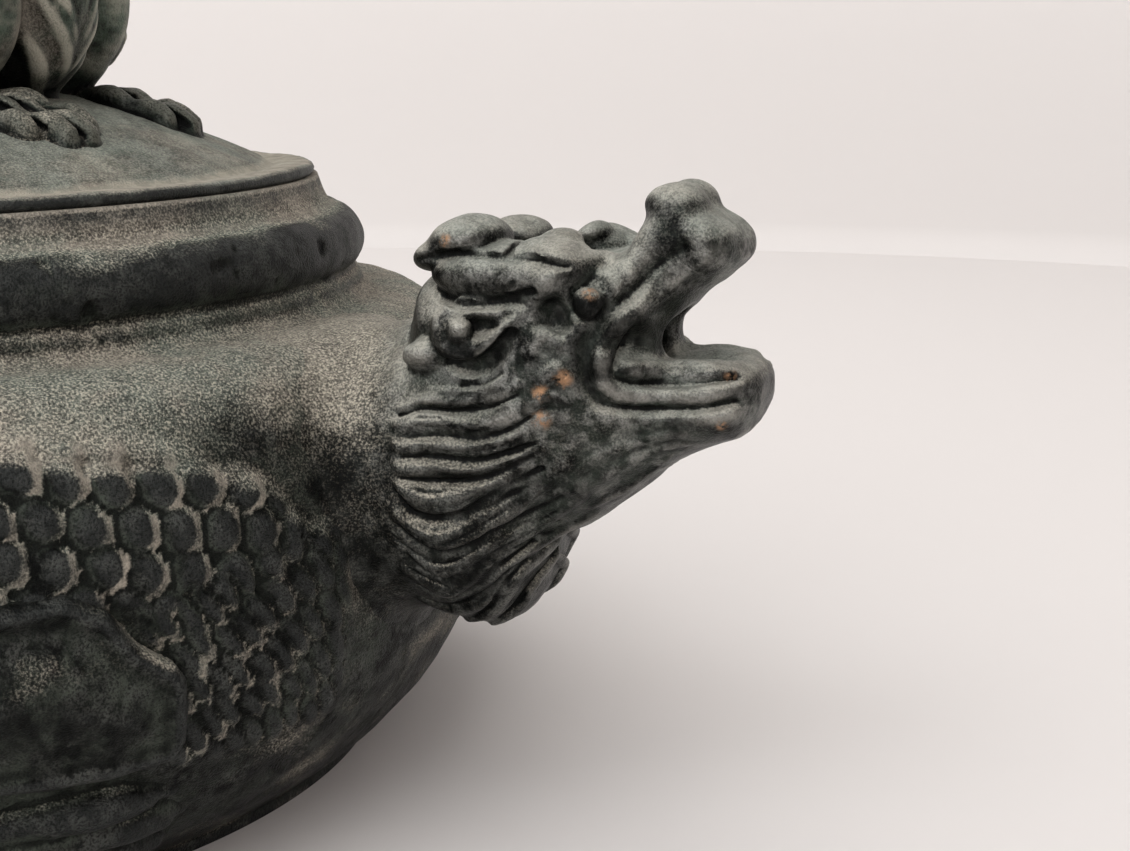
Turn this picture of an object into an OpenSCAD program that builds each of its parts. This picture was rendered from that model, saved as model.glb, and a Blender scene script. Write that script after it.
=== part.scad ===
// Bronze dragon inkwell: a round vessel whose front is a dragon's head with open jaws,
// a lift-off domed lid with a crouching beast, and a glazed cup that holds the ink.
// Frame: +Z up, origin at the centre of the flat base, the dragon looks along +X.

/* [Vessel] */
// Radius of the foot where it meets the table
foot_r = 45; // [43:0.5:47]
// Height of the foot's upright edge
foot_h = 1.2; // [0.8:0.1:2]
// Largest radius of the belly
belly_r = 57.5; // [55:0.5:60]
// Height of the belly's widest line
belly_z = 24; // [22:0.5:26]
// Height of the flat shoulder
shoulder_z = 44.4; // [43:0.2:46]
// Roundness of the shoulder, where 2 is an ellipse
shoulder_power = 2.6; // [2.2:0.1:3]
// Thickness of the casting
wall = 3.2; // [2.6:0.1:4]

/* [Mouth] */
// Middle radius of the rolled moulding below the lid
roll_r = 42.4; // [41.5:0.1:43]
// Half thickness of the rolled moulding
roll_half = 3.3; // [2.8:0.1:3.6]
// Height of the moulding's middle above the shoulder
roll_rise = 5.2; // [4.8:0.1:6]
// Radius of the hollow between the moulding and the shoulder
cove_r = 2; // [1.6:0.1:2.2]
// Height of the lid's seat above the shoulder
seat_rise = 11.5; // [10.5:0.1:13]
// Outer radius of the rim that the lid sits on
rim_r = 41.3; // [40:0.1:42]
// Radius of the bore that the lid's spigot drops into
mouth_r = 36; // [34:0.5:37]
// Height of the ledge for the ink cup, below the lid's seat
ledge_drop = 8.4; // [7.6:0.1:9]
// Width of the ledge for the ink cup
ledge_w = 2.6; // [2:0.1:3]

/* [Base] */
// Thickness of the base plate
plate_t = 2.4; // [2:0.1:3]
// Radius of the base plate
plate_r = 40; // [36:0.5:41]
// Width of the ledge that stops the base plate
plate_ledge = 3; // [2:0.5:4]
// Thickness of the ledge that stops the base plate
plate_ledge_t = 1.8; // [1.4:0.1:2.4]

/* [Ink cup] */
// Thickness of the cup's wall
cup_wall = 2.6; // [2:0.1:3.2]
// Thickness of the cup's floor
cup_floor = 3.2; // [2.4:0.1:4]
// Thickness of the cup's rim
cup_rim_t = 2.2; // [1.8:0.1:2.8]
// Height of the cup's underside above the base plate
cup_lift = 3; // [1.5:0.5:6]
// Rounding of the cup's lower corner
cup_corner = 4; // [3:0.5:6]

/* [Lid] */
// Outer radius of the lid's thin lip
lip_r = 41.1; // [40:0.1:42]
// Thickness of the lid's lip
lip_t = 1.2; // [1:0.1:1.6]
// Radius of the dome where it leaves the lip
dome_r = 36.5; // [35:0.5:38]
// Rise of the dome above the lip
dome_rise = 9; // [7:0.5:11]
// Thickness of the dome
dome_t = 2.4; // [2:0.1:3]
// Depth of the spigot that centres the lid
spigot_h = 4.6; // [3:0.1:5.4]
// Thickness of the spigot's wall
spigot_t = 2.2; // [1.8:0.1:2.6]

/* [Rivet] */
// Radius of the rivet that holds the beast
rivet_r = 2.5; // [2:0.1:3]
// Length of the rivet inside the beast
rivet_grip = 8; // [6:0.5:10]
// Radius of the rivet's peened head
rivet_head_r = 4.5; // [4:0.1:5.5]
// Height of the rivet's peened head
rivet_head_h = 1.6; // [1.2:0.1:2]

/* [Dragon head] */
// Distance from the vessel's axis to the back wall of the mouth
throat_x = 80.4; // [80:0.1:81]
// Height of the hole in the back wall of the mouth
bore_z = 44.6; // [44:0.1:45]
// Radius of the bore that leads from the jaws into the vessel
bore_r = 1.5; // [1.2:0.1:1.8]
// Downward slope of the bore towards the vessel
bore_slope = 17; // [12:1:20]
// Half width of the skull behind the eyes
skull_half_w = 10.3; // [9.8:0.1:11]
// Half width of the neck at the vessel
neck_half_w = 12.7; // [12:0.1:13.6]
// Radius of an eyeball
eye_r = 1.5; // [1.2:0.1:1.8]
// Thickness of the rolled lips, as a radius
lip_roll_r = 0.85; // [0.7:0.05:1.1]
// Number of mane locks on each side of the neck
locks = 7; // [6:1:8]
// Largest radius of a mane lock
lock_r = 1.6; // [1.3:0.05:1.9]
// Number of beard locks on each side of the chin
beard_locks = 4; // [3:1:5]

/* [Legs and tail] */
// How far the legs stand out of the belly
leg_relief = 3.4; // [2.6:0.1:4]
// Angle from the head to the middle of a front haunch
foreleg_turn = 42; // [38:1:46]
// Angle from the head to the middle of a rear haunch
hindleg_turn = 132; // [126:1:138]
// Half length of a haunch along the belly
haunch_half = 14; // [12:0.5:15]
// Height of a haunch's top edge
haunch_top = 30.3; // [28:0.1:32]
// Height of a haunch's lower edge
haunch_foot = 14.8; // [13:0.1:16]
// Rounding of a haunch's edge
haunch_edge = 3.4; // [2.6:0.1:4]
// Radius of the tail at its root
tail_root_r = 5; // [4.4:0.1:5.6]
// Radius of the tail at its tip
tail_tip_r = 1.3; // [1:0.1:1.8]
// Height of the tail's root
tail_foot = 12; // [10:0.5:14]
// Height that the tail climbs to its tip
tail_climb = 26; // [22:0.5:28]
// Angle that the tail turns from the back to the dragon's left
tail_turn = 46; // [38:1:54]

/* [Finial beast] */
// Turn of the beast from the dragon's line of sight
beast_turn = 6; // [0:1:12]
// Distance from the lid's centre to the paws' tips
paw_reach = 28; // [26:0.5:30]
// Distance of each paw from the beast's middle line
paw_spread = 9; // [8:0.5:10]
// Height of the beast's ears above the dome's crown
beast_h = 32; // [30:0.5:36]

/* [Fits] */
// Clearance between the lid or the ink cup and the vessel
slip_fit = 0.3; // [0.2:0.05:0.4]
// Drop of the rivet's head below the dome, which clears the dome's curve
rivet_drop = 0.4; // [0.3:0.05:0.6]
// Gap left for the braze between cast pieces
braze_gap = 0.1; // [0.05:0.05:0.15]

/* [Hidden] */

bronze = "darkslategray";
worn_bronze = "saddlebrown";
glaze = "ivory";

// Heights that follow from the shoulder
roll_z = shoulder_z + roll_rise;
seat_z = shoulder_z + seat_rise;
ledge_z = seat_z - ledge_drop;
cove_z = shoulder_z + cove_r;
shoulder_r = roll_r + roll_half + cove_r - 0.5;

// The belly's lower curve is one arc from the foot to the widest line, upright at that line
belly_drop = belly_z - foot_h;
belly_out = belly_r - foot_r;
belly_arc = (belly_out * belly_out + belly_drop * belly_drop) / (2 * belly_out);
belly_arc_x = belly_r - belly_arc;

// The dome is part of one sphere
dome_sphere = (dome_r * dome_r + dome_rise * dome_rise) / (2 * dome_rise);
lip_z = seat_z + lip_t;
crown_z = lip_z + dome_rise;
dome_centre_z = crown_z - dome_sphere;
dome_cut_fn = 64;
dome_sag = dome_sphere * (1 - cos(180 / dome_cut_fn));

ledge_r = mouth_r - ledge_w;
cup_r = ledge_r - slip_fit;
cup_bottom = plate_t + cup_lift;
spigot_r = mouth_r - slip_fit;

// Facets: round_fn for turned forms, cut_fn for the belly that shaped pieces are cut back from
round_fn = 96;
cut_fn = 60;
ball_fn = 12;
small_ball_fn = 8;
small_ball_r = 2.2;
arc_steps = 10;
cut_sag = belly_r * (1 - cos(180 / cut_fn));

// ---- Curves and skins ----

// Points of the belly's lower arc, moved inwards by t, from height z0 up to the widest line
function lower_belly(t, z0) =
    let (r = belly_arc - t, a0 = asin((z0 - belly_z) / r))
    [for (i = [0:arc_steps]) let (a = a0 * (1 - i / arc_steps)) [belly_arc_x + r * cos(a), belly_z + r * sin(a)]];

// Points of the shoulder, a rounded corner of the given power, moved inwards by t
function upper_belly(t) =
    [for (i = [1:arc_steps])
        let (
            a = 90 * i / arc_steps,
            out = belly_r - shoulder_r - t,
            up = shoulder_z - belly_z - t
        )
        [shoulder_r + out * pow(cos(a), 2 / shoulder_power), belly_z + up * pow(sin(a), 2 / shoulder_power)]];

// A smooth curve through the given points, with steps points between each pair
function smooth(p, steps) =
    let (n = len(p) - 1)
    concat(
        [for (i = [0:n - 1], k = [0:steps - 1])
            let (
                t = k / steps,
                a = p[max(i - 1, 0)], b = p[i], c = p[i + 1], d = p[min(i + 2, n)]
            )
            0.5 * (2 * b + t * (c - a) + t * t * (2 * a - 5 * b + 4 * c - d) + t * t * t * (3 * b - a - 3 * c + d))],
        [p[n]]
    );

function unit(v) = v / norm(v);

// Circles of points square to a path; each path point is [x, y, z, radius]
function tube_rings(path, sides) =
    let (n = len(path) - 1)
    [for (i = [0:n])
        let (
            here = path[i],
            ahead = path[min(i + 1, n)] - path[max(i - 1, 0)],
            along = unit([ahead[0], ahead[1], ahead[2]]),
            side = unit(cross(along, [0.02, 0.1, 1])),
            up = cross(side, along)
        )
        [for (k = [0:sides - 1])
            let (a = 360 * k / sides)
            [here[0], here[1], here[2]] + here[3] * (cos(a) * side + sin(a) * up)]];

// Upright ovals across the X axis; each station is [x, top, bottom, half_width]
function oval_rings(stations, sides) =
    [for (s = stations)
        let (mid = (s[1] + s[2]) / 2, half = (s[1] - s[2]) / 2)
        [for (k = [0:sides - 1])
            let (a = -360 * k / sides)
            [s[0], s[3] * squarer(cos(a)), mid + half * squarer(sin(a))]]];

// Pushes an oval's sides outwards a little, so that it is fuller than an ellipse
function squarer(v) = sign(v) * pow(abs(v), 0.82);

// One closed skin over rings that all have the same number of points
module skin(rings) {
    sides = len(rings[0]);
    last = len(rings) - 1;
    polyhedron(
        points = [for (ring = rings) each ring],
        faces = concat(
            [[for (k = [sides - 1:-1:0]) k]],
            [[for (k = [0:sides - 1]) last * sides + k]],
            [for (i = [0:last - 1], k = [0:sides - 1])
                [i * sides + k, (i + 1) * sides + (k + 1) % sides, (i + 1) * sides + k]],
            [for (i = [0:last - 1], k = [0:sides - 1])
                [i * sides + k, i * sides + (k + 1) % sides, (i + 1) * sides + (k + 1) % sides]]
        )
    );
}

// A round strand through points [x, y, z, radius]
module strand(points, steps = 3, sides = 6) {
    skin(tube_rings(smooth(points, steps), sides));
}

// A smooth form over upright ovals
module oval_loft(stations, steps = 2, sides = 16) {
    skin(oval_rings(smooth(stations, steps), sides));
}

module ball(p, r) {
    translate(p) sphere(r = r, $fn = r > small_ball_r ? ball_fn : small_ball_fn);
}

// Two balls joined by a straight taper
module limb(p1, r1, p2, r2) {
    hull() {
        ball(p1, r1);
        ball(p2, r2);
    }
}

module both_sides() {
    children();
    mirror([0, 1, 0]) children();
}

// ---- Vessel ----

// Half section of the belly's outer form, grown by g
module belly_section(g = 0) {
    polygon(concat(
        [[0, 0], [foot_r + g, 0]],
        lower_belly(-g, foot_h),
        upper_belly(-g),
        [[0, shoulder_z + g]]
    ));
}

// The belly as one solid, which leaves a piece that is cut by it room for its braze
module belly_clearance() {
    rotate_extrude($fn = cut_fn) belly_section(braze_gap + cut_sag);
}

// Half section of the neck between the shoulder and the lid's seat
module mouth_section() {
    difference() {
        polygon([
            [0, belly_z], [shoulder_r, belly_z], [shoulder_r, shoulder_z],
            [shoulder_r, cove_z], [roll_r + roll_half * 0.75, cove_z], [roll_r, roll_z],
            [roll_r, roll_z + roll_half * 0.9], [rim_r + 0.7, seat_z - 2.2], [rim_r, seat_z], [0, seat_z],
        ]);
        translate([shoulder_r, cove_z]) circle(r = cove_r, $fn = round_fn);
    }
    translate([roll_r, roll_z]) circle(r = roll_half, $fn = round_fn);
}

// Half section of everything that is hollow: base recess, belly and mouth
module hollow_section() {
    floor_z = plate_t + plate_ledge_t;
    polygon(concat(
        [[0, -1], [plate_r, -1], [plate_r, plate_t], [plate_r - plate_ledge, plate_t]],
        [[plate_r - plate_ledge, floor_z]],
        lower_belly(wall, floor_z),
        upper_belly(wall),
        [
            [ledge_r, shoulder_z - wall], [ledge_r, ledge_z],
            [mouth_r, ledge_z], [mouth_r, seat_z + 1], [0, seat_z + 1],
        ]
    ));
}

// The bore behind the jaws, along its own slope
module jaw_bore(length, r = bore_r) {
    translate([throat_x, 0, bore_z]) rotate([0, -90 - bore_slope, 0]) cylinder(r = r, h = length, $fn = 24);
}

module vessel_body() {
    color(bronze)
    difference() {
        rotate_extrude($fn = round_fn)
        difference() {
            union() {
                belly_section();
                mouth_section();
            }
            hollow_section();
        }
        jaw_bore(throat_x - mouth_r);
    }
}

module base_plate() {
    color(bronze) cylinder(r = plate_r - braze_gap, h = plate_t, $fn = round_fn);
}

// ---- Dragon head ----

// Neck and skull: [x, top, bottom, half_width]
skull_stations = [
    [49, 42.2, 24, neck_half_w - 2],
    [55, 44.8, 21, neck_half_w - 0.8],
    [62, 47.2, 19, neck_half_w],
    [66.5, 48.8, 19.2, neck_half_w - 1.2],
    [70, 50, 25.6, skull_half_w + 0.4],
    [74, 51.3, 28.4, skull_half_w - 0.6],
    [78, 52.2, 30.8, skull_half_w - 2],
    [throat_x - 0.7, 50, 33.6, skull_half_w - 3.6],
];

// Broad top of the skull that carries the ears, eyes and crest
cranium_stations = [
    [59.5, 49.4, 40, 6],
    [62, 50.6, 38, skull_half_w - 1.4],
    [68, 51.4, 37, skull_half_w],
    [74, 52, 38, skull_half_w - 0.4],
    [78, 52, 40, skull_half_w - 1.6],
    [throat_x, 51, 43, skull_half_w - 3],
];

upper_jaw_stations = [
    [75, 51, 44, 6.8],
    [78, 53.2, 44, 6.8],
    [80, 56.4, 44.8, 6],
    [82, 57.5, 46.6, 5.4],
    [84, 56.4, 48.8, 5],
    [86, 55, 50.4, 4.3],
    [87.6, 53.4, 51.8, 2.2],
];

lower_jaw_stations = [
    [75.5, 42.6, 29, 8],
    [78, 43.4, 31.8, 7.8],
    [81, 43.5, 34.4, 7.2],
    [84.5, 43.6, 36, 6.6],
    [87, 43.4, 37, 5.6],
    [88.8, 42.2, 40.4, 2.4],
];

// Lip that runs from the snout round the corner of the mouth and out along the jaw
lip_path = [
    [85.4, -4.4, 52, lip_roll_r * 0.7], [82.4, -5.4, 50.4, lip_roll_r], [79.6, -6.8, 48, lip_roll_r],
    [77.6, -8, 45.2, lip_roll_r], [77.2, -8.3, 42.9, lip_roll_r], [78.8, -8, 41.2, lip_roll_r],
    [82.6, -6.9, 41, lip_roll_r], [87, -5.2, 41.7, lip_roll_r * 0.8],
];

// Lobes of the crest from the back of the skull forwards: [x, y, z, radius]
crest_lobes = [
    [61.6, 4.6, 51.3, 1.5], [64.8, 4.6, 51.5, 2.6], [68.6, 5.4, 50.9, 2.3],
    [72.4, 4.8, 51.4, 2.2], [75, 3, 51.6, 1.8],
];

// A lock of the mane; turn runs from 0 at the top lock to 1 at the lowest
module mane_lock(turn) {
    root = [73 - 1.4 * turn, -9.2, 41 - 10 * turn];
    middle = [67 - 0.8 * turn, -neck_half_w + 1 + 1.4 * turn, 39.6 - 12.6 * turn];
    tip = [61.2 + 4 * turn * turn, -neck_half_w + 0.6 + 3 * turn, 39.4 - 17.6 * turn];
    strand([
        [root[0], root[1], root[2], lock_r * 0.35],
        [middle[0], middle[1], middle[2], lock_r],
        [tip[0], tip[1], tip[2], lock_r * 0.75],
    ]);
}

// A lock of the beard; turn runs from 0 near the chin to 1 at the throat
module beard_lock(turn) {
    strand([
        [80.3 - 3.1 * turn, -6.3, 36.7 - 1.6 * turn, 0.6],
        [77.3 - 4.6 * turn, -6.7, 32.2 - 4.1 * turn, 1.6],
        [73.9 - 5.3 * turn, -4.9, 28.1 - 3.7 * turn, 1.2],
    ]);
}

module eye_and_brow() {
    ball([76.2, -skull_half_w + 1.9, 48.5], eye_r);
    limb([73, -skull_half_w + 1.8, 51], 1.3, [78.4, -skull_half_w + 3.6, 51.4], 1.1);
}

module ear() {
    difference() {
        limb([70.6, -skull_half_w + 0.4, 47.6], 1.6, [65.6, -skull_half_w - 1.4, 46.6], 2.7);
        ball([66, -skull_half_w - 3.8, 46], 2.2);
    }
    ball([66.2, -skull_half_w - 1.5, 46.1], 1.2);
}

module snout_tip() {
    limb([82, -2.4, 55], 2.1, [83.8, -2.6, 54.6], 1.8);
    limb([84.6, -2.8, 53.6], 2.2, [85.8, -2.6, 53.2], 1.9);
}

module dragon_head() {
    color(bronze)
    difference() {
        union() {
            oval_loft(skull_stations, sides = 22);
            oval_loft(cranium_stations);
            oval_loft(upper_jaw_stations);
            difference() {
                oval_loft(lower_jaw_stations);
                limb([81, 0, 44.8], 3, [87, 0, 44.4], 2.6);
            }
            for (i = [0:len(crest_lobes) - 2])
                let (a = crest_lobes[i], b = crest_lobes[i + 1])
                hull() both_sides() {
                    ball([a[0], a[1], a[2]], a[3]);
                    ball([b[0], b[1], b[2]], b[3]);
                }
            both_sides() {
                eye_and_brow();
                ear();
                snout_tip();
                strand(lip_path, sides = 7);
                for (i = [0:locks - 1]) mane_lock(i / (locks - 1));
                for (i = [0:beard_locks - 1]) beard_lock(i / (beard_locks - 1));
            }
        }
        belly_clearance();
        jaw_bore(throat_x - mouth_r);
    }
}

// ---- Legs and tail ----

// A point on the belly: turn about the axis, height and distance out of the surface
function on_belly(turn, z, out) =
    let (
        below = z < belly_z,
        r = below
            ? belly_arc_x + sqrt(belly_arc * belly_arc - (belly_z - z) * (belly_z - z))
            : shoulder_r + (belly_r - shoulder_r)
                * pow(1 - pow((z - belly_z) / (shoulder_z - belly_z), shoulder_power), 1 / shoulder_power)
    )
    [(r + out) * cos(turn), (r + out) * sin(turn), z];

// Outline of a haunch, as [distance towards the head, height] of its rounded edge's middle
haunch_line = [
    [-haunch_half, haunch_foot + 6], [-haunch_half + 4, haunch_top - 5.4], [-3, haunch_top - 3.6],
    [4, haunch_top - 3.4], [haunch_half - 5.6, haunch_top - 7.6], [haunch_half - 3.6, haunch_foot + 7],
    [haunch_half - 3.4, haunch_foot + haunch_edge], [-haunch_half + 2, haunch_foot + haunch_edge],
];

// Strands of a paw, as [rear distance, rear height, front distance, front height, radius]
paw_line = [
    [-11, 19, -8, 10.6, 3.2], [-8, 10, 7, 9.4, 3.2], [-7, 6.6, 6, 5.6, 3.4],
    [5, 10.8, 11, 10.2, 1.5], [6, 8.4, 12.6, 7.6, 1.6], [6, 5.8, 12.2, 5, 1.6], [5, 3.6, 10.4, 3, 1.4],
];

// A leg in relief, a flat haunch over a paw; side is -1 on the dragon's right and 1 on its left
module leg(turn, side) {
    step = 360 / (2 * PI * belly_r);
    function at(along, z, out) = on_belly(side * (turn - along * step), z, out);
    sunk = leg_relief - haunch_edge;
    color(bronze)
    difference() {
        union() {
            hull()
                for (p = haunch_line) ball(at(p[0], p[1], sunk), haunch_edge);
            for (p = paw_line)
                limb(at(p[0], p[1], leg_relief - p[4] - 0.6), p[4], at(p[2], p[3], leg_relief - p[4] - 0.8), p[4] * 0.9);
        }
        belly_clearance();
    }
}

module foreleg_right() {
    leg(foreleg_turn, -1);
}

module foreleg_left() {
    leg(foreleg_turn, 1);
}

module hindleg_right() {
    leg(hindleg_turn, -1);
}

module hindleg_left() {
    leg(hindleg_turn, 1);
}

// The tail starts low at the back, climbs and curls round onto the left of the shoulder
tail_stops = 10;
function tail_point(t) =
    on_belly(180 - tail_turn * t * t, tail_foot + tail_climb * sin(90 * t), tail_radius(t) * 0.55);
function tail_radius(t) = tail_root_r + (tail_tip_r - tail_root_r) * t;

module tail() {
    color(bronze)
    difference() {
        union() {
            for (i = [0:tail_stops - 1])
                let (a = i / tail_stops, b = (i + 1) / tail_stops)
                limb(tail_point(a), tail_radius(a), tail_point(b), tail_radius(b));
            limb(
                tail_point(0.96), tail_tip_r,
                on_belly(180 - tail_turn * 1.26, tail_foot + tail_climb * 1.1, tail_tip_r), tail_tip_r * 0.7
            );
        }
        belly_clearance();
    }
}

// ---- Ink cup ----

module ink_cup() {
    inner_r = cup_r - cup_wall;
    rim_z = ledge_z + cup_rim_t;
    inner_floor = cup_bottom + cup_floor;
    color(glaze)
    rotate_extrude($fn = round_fn)
    difference() {
        union() {
            square([cup_r - cup_corner, rim_z]);
            translate([0, cup_bottom + cup_corner]) square([cup_r, rim_z - cup_bottom - cup_corner]);
            translate([cup_r - cup_corner, cup_bottom + cup_corner]) circle(r = cup_corner, $fn = round_fn);
            translate([0, ledge_z]) square([mouth_r - slip_fit, cup_rim_t]);
        }
        translate([-1, -1]) square([cup_r + 1, cup_bottom + 1]);
        translate([0, inner_floor + cup_corner]) square([inner_r, rim_z]);
        translate([0, inner_floor]) square([inner_r - cup_corner, rim_z]);
        translate([inner_r - cup_corner, inner_floor + cup_corner]) circle(r = cup_corner, $fn = round_fn);
    }
}

// ---- Lid ----

module dome_form(g = 0, facets = 200) {
    translate([0, 0, dome_centre_z]) sphere(r = dome_sphere + g, $fn = facets);
}

module lid() {
    hollow_r = spigot_r - spigot_t;
    color(bronze)
    difference() {
        union() {
            translate([0, 0, seat_z]) cylinder(r = lip_r, h = lip_t, $fn = round_fn);
            intersection() {
                dome_form();
                translate([0, 0, seat_z]) cylinder(r = lip_r, h = dome_rise + lip_t + 1, $fn = round_fn);
            }
        }
        intersection() {
            dome_form(-dome_t);
            translate([0, 0, seat_z - 1]) cylinder(r = hollow_r, h = dome_rise + lip_t + 1, $fn = round_fn);
        }
        translate([0, 0, seat_z]) cylinder(r = rivet_r, h = dome_rise + lip_t + 1, $fn = 48);
    }
}

module lid_spigot() {
    color(bronze)
    translate([0, 0, seat_z - spigot_h])
    difference() {
        cylinder(r = spigot_r, h = spigot_h, $fn = round_fn);
        translate([0, 0, -1]) cylinder(r = spigot_r - spigot_t, h = spigot_h + 2, $fn = round_fn);
    }
}

// ---- Finial ----

module finial_rivet() {
    head_top = crown_z - dome_t - rivet_drop;
    head_sphere = (rivet_head_r * rivet_head_r + rivet_head_h * rivet_head_h) / (2 * rivet_head_h);
    color(worn_bronze) {
        translate([0, 0, head_top - 0.1]) cylinder(r = rivet_r - braze_gap, h = dome_t + rivet_grip, $fn = 48);
        intersection() {
            translate([0, 0, head_top - rivet_head_h + head_sphere]) sphere(r = head_sphere, $fn = round_fn);
            translate([0, 0, head_top - rivet_head_h]) cylinder(r = rivet_head_r, h = rivet_head_h, $fn = 48);
        }
    }
}

// Foreleg of the beast: shoulder, bulging knee, narrow ankle and a paw that lies on the dome
module beast_foreleg() {
    z0 = crown_z;
    limb([13, -8, z0 + 13], 5, [18, -paw_spread, z0 + 5], 4.6);
    limb([18, -paw_spread, z0 + 5], 4.6, [17, -paw_spread, z0 - 1], 3.2);
    limb([18, -paw_spread, z0 - 3], 3, [paw_reach - 3.6, -paw_spread, z0 - 4.6], 2.4);
    for (i = [-1:1])
        limb(
            [paw_reach - 5, -paw_spread + 2.2 * i, z0 - 3.9], 1.4,
            [paw_reach - 1.4 - abs(i), -paw_spread + 2.6 * i, z0 - 5.2], 1.2
        );
}

module beast_hindleg() {
    z0 = crown_z;
    hull() {
        ball([-10, -7, z0 + 7], 7);
        ball([-5, -9, z0 + 3], 5.5);
    }
    limb([-6, -11, z0 - 1.5], 3, [4, -12, z0 - 1.4], 2.4);
}

module beast_head() {
    z0 = crown_z + beast_h;
    hull() {
        ball([10, 0, z0 - 9], 9);
        ball([16, 0, z0 - 11], 6);
    }
    limb([17, 0, z0 - 12.4], 4.6, [22, 0, z0 - 13.4], 3.6);
    both_sides() {
        limb([8, -5.6, z0 - 2.6], 2.4, [5.6, -7.4, z0 - 1.4], 1.4);
        ball([18, -3.6, z0 - 7.8], 1.5);
        limb([5, -6.8, z0 - 8], 2.8, [4, -7, z0 - 16], 3);
    }
}

module finial_beast() {
    z0 = crown_z;
    color(bronze)
    difference() {
        rotate([0, 0, beast_turn]) {
            hull() {
                ball([8, 0, z0 + 12], 10);
                ball([-10, 0, z0 + 8], 9);
                ball([-8, 0, z0 + 2], 9);
                ball([10, 0, z0 + 5], 8);
            }
            both_sides() {
                beast_foreleg();
                beast_hindleg();
            }
            beast_head();
            strand([
                [-16, 0, z0 + 4, 2.6], [-21, 0, z0 + 9, 2.8],
                [-21, 0, z0 + 17, 3.4], [-16, 0, z0 + 22, 1],
            ], sides = 8);
        }
        dome_form(braze_gap + dome_sag, facets = dome_cut_fn);
        translate([0, 0, z0 - 1]) cylinder(r = rivet_r + braze_gap, h = rivet_grip + 1, $fn = 32);
    }
}

vessel_body();
base_plate();
dragon_head();
foreleg_right();
foreleg_left();
hindleg_right();
hindleg_left();
tail();
ink_cup();
lid();
lid_spigot();
finial_beast();
finial_rivet();
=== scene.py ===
"""The looks of a bronze dragon inkwell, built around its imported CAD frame.

A round cast vessel carries a dragon's head with open jaws, relief legs, a tail and a band of scales.
A domed lid with a crouching beast lifts off a rolled neck. The cast shapes are sculpted as clay: signed
distances on an even grid that are meshed, roughened and given the wear and dust of an old patina.
Clay is worked in millimetres and every mesh is handed over in metres, in the frame of the CAD.
"""

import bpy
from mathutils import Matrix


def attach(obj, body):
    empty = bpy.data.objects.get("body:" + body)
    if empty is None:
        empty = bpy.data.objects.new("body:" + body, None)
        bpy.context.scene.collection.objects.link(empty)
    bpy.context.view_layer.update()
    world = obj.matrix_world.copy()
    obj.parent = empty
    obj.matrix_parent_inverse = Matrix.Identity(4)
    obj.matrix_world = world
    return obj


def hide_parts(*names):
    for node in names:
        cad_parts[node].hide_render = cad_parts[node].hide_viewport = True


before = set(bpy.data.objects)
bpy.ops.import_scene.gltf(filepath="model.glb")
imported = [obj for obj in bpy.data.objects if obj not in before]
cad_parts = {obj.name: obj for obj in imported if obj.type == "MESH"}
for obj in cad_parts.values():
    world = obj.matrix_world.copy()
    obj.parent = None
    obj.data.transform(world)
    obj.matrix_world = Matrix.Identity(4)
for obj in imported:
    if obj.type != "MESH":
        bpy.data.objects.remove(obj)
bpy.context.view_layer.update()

import enum
import logging
import math
from collections.abc import Callable, Sequence
from dataclasses import dataclass, field

import bpy
import numpy as np
import openvdb
from mathutils import Matrix, Vector
from mathutils.bvhtree import BVHTree

LOG = logging.getLogger("inkwell")
MM = 0.001
TINY = 1e-9
FAR = 9.0  # what empty clay holds, in millimetres
PAINTS = ("hollow", "broad", "dust", "plain", "copper")
Grids = tuple[np.ndarray, np.ndarray, np.ndarray]
Triple = tuple[float, float, float]
Colour = tuple[float, float, float, float]
Path = Sequence[Sequence[float]]


class Body(enum.Enum):
    """The two bodies of the CAD frame."""

    VESSEL = "vessel"
    LID = "lid_assembly"


class Slot(enum.Enum):
    """The record's material slots."""

    VESSEL = "bronze_vessel"
    HEAD = "bronze_head"
    LID = "bronze_lid"
    BEAST = "bronze_beast"
    BASE = "bronze_base"
    GLAZE = "glaze"


def put(name: str, data: bpy.types.ID) -> bpy.types.Object:
    """A new object in the scene."""
    made = bpy.data.objects.new(name, data)
    bpy.context.scene.collection.objects.link(made)
    return made


# ---------------------------------------------------------------- curves and noise


def smooth_path(points: Path, step: float) -> np.ndarray:
    """A Catmull-Rom curve through points.

    Args:
        points: Rows of numbers, whose first columns are the place.
        step: Wanted distance between the curve's points.

    Returns:
        Rows of the same width, closer together.
    """
    points = np.asarray(points, float)
    padded = np.vstack([2 * points[0] - points[1], points, 2 * points[-1] - points[-2]])
    rows = []
    for before, start, end, after in zip(padded, padded[1:], padded[2:], padded[3:]):
        count = max(1, math.ceil(np.linalg.norm((end - start)[:3]) / step))
        t = (np.arange(count) / count)[:, None]
        bend = 2 * before - 5 * start + 4 * end - after
        cubic = 3 * start - before - 3 * end + after
        rows.append(0.5 * (2 * start + t * (end - before) + t**2 * bend + t**3 * cubic))
    return np.vstack([*rows, points[-1:]])


def value_noise(places: np.ndarray, size: float, seed: int) -> np.ndarray:
    """Smooth random values between -1 and 1.

    Args:
        places: Rows of x, y, z.
        size: Width of the noise's lumps.
        seed: Which noise.

    Returns:
        One value for each row.
    """
    period = 32
    table = np.random.default_rng(seed).uniform(-1, 1, (period, period, period)).astype(np.float32)
    cell = np.floor(places / size).astype(int)
    part = (places / size - cell).astype(np.float32)
    part = part * part * (3 - 2 * part)
    total = np.zeros(len(places), np.float32)
    for corner in np.ndindex(2, 2, 2):
        weight = np.where(corner, part, 1 - part).prod(axis=1)
        total += weight * table[tuple(((cell + corner) % period).T)]
    return total


def layered_noise(places: np.ndarray, size: float, layers: int, seed: int) -> np.ndarray:
    """Noise with finer and weaker layers added, each half the size of the last."""
    return sum(value_noise(places, size / 2**layer, seed + layer) / 2**layer for layer in range(layers))


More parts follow.
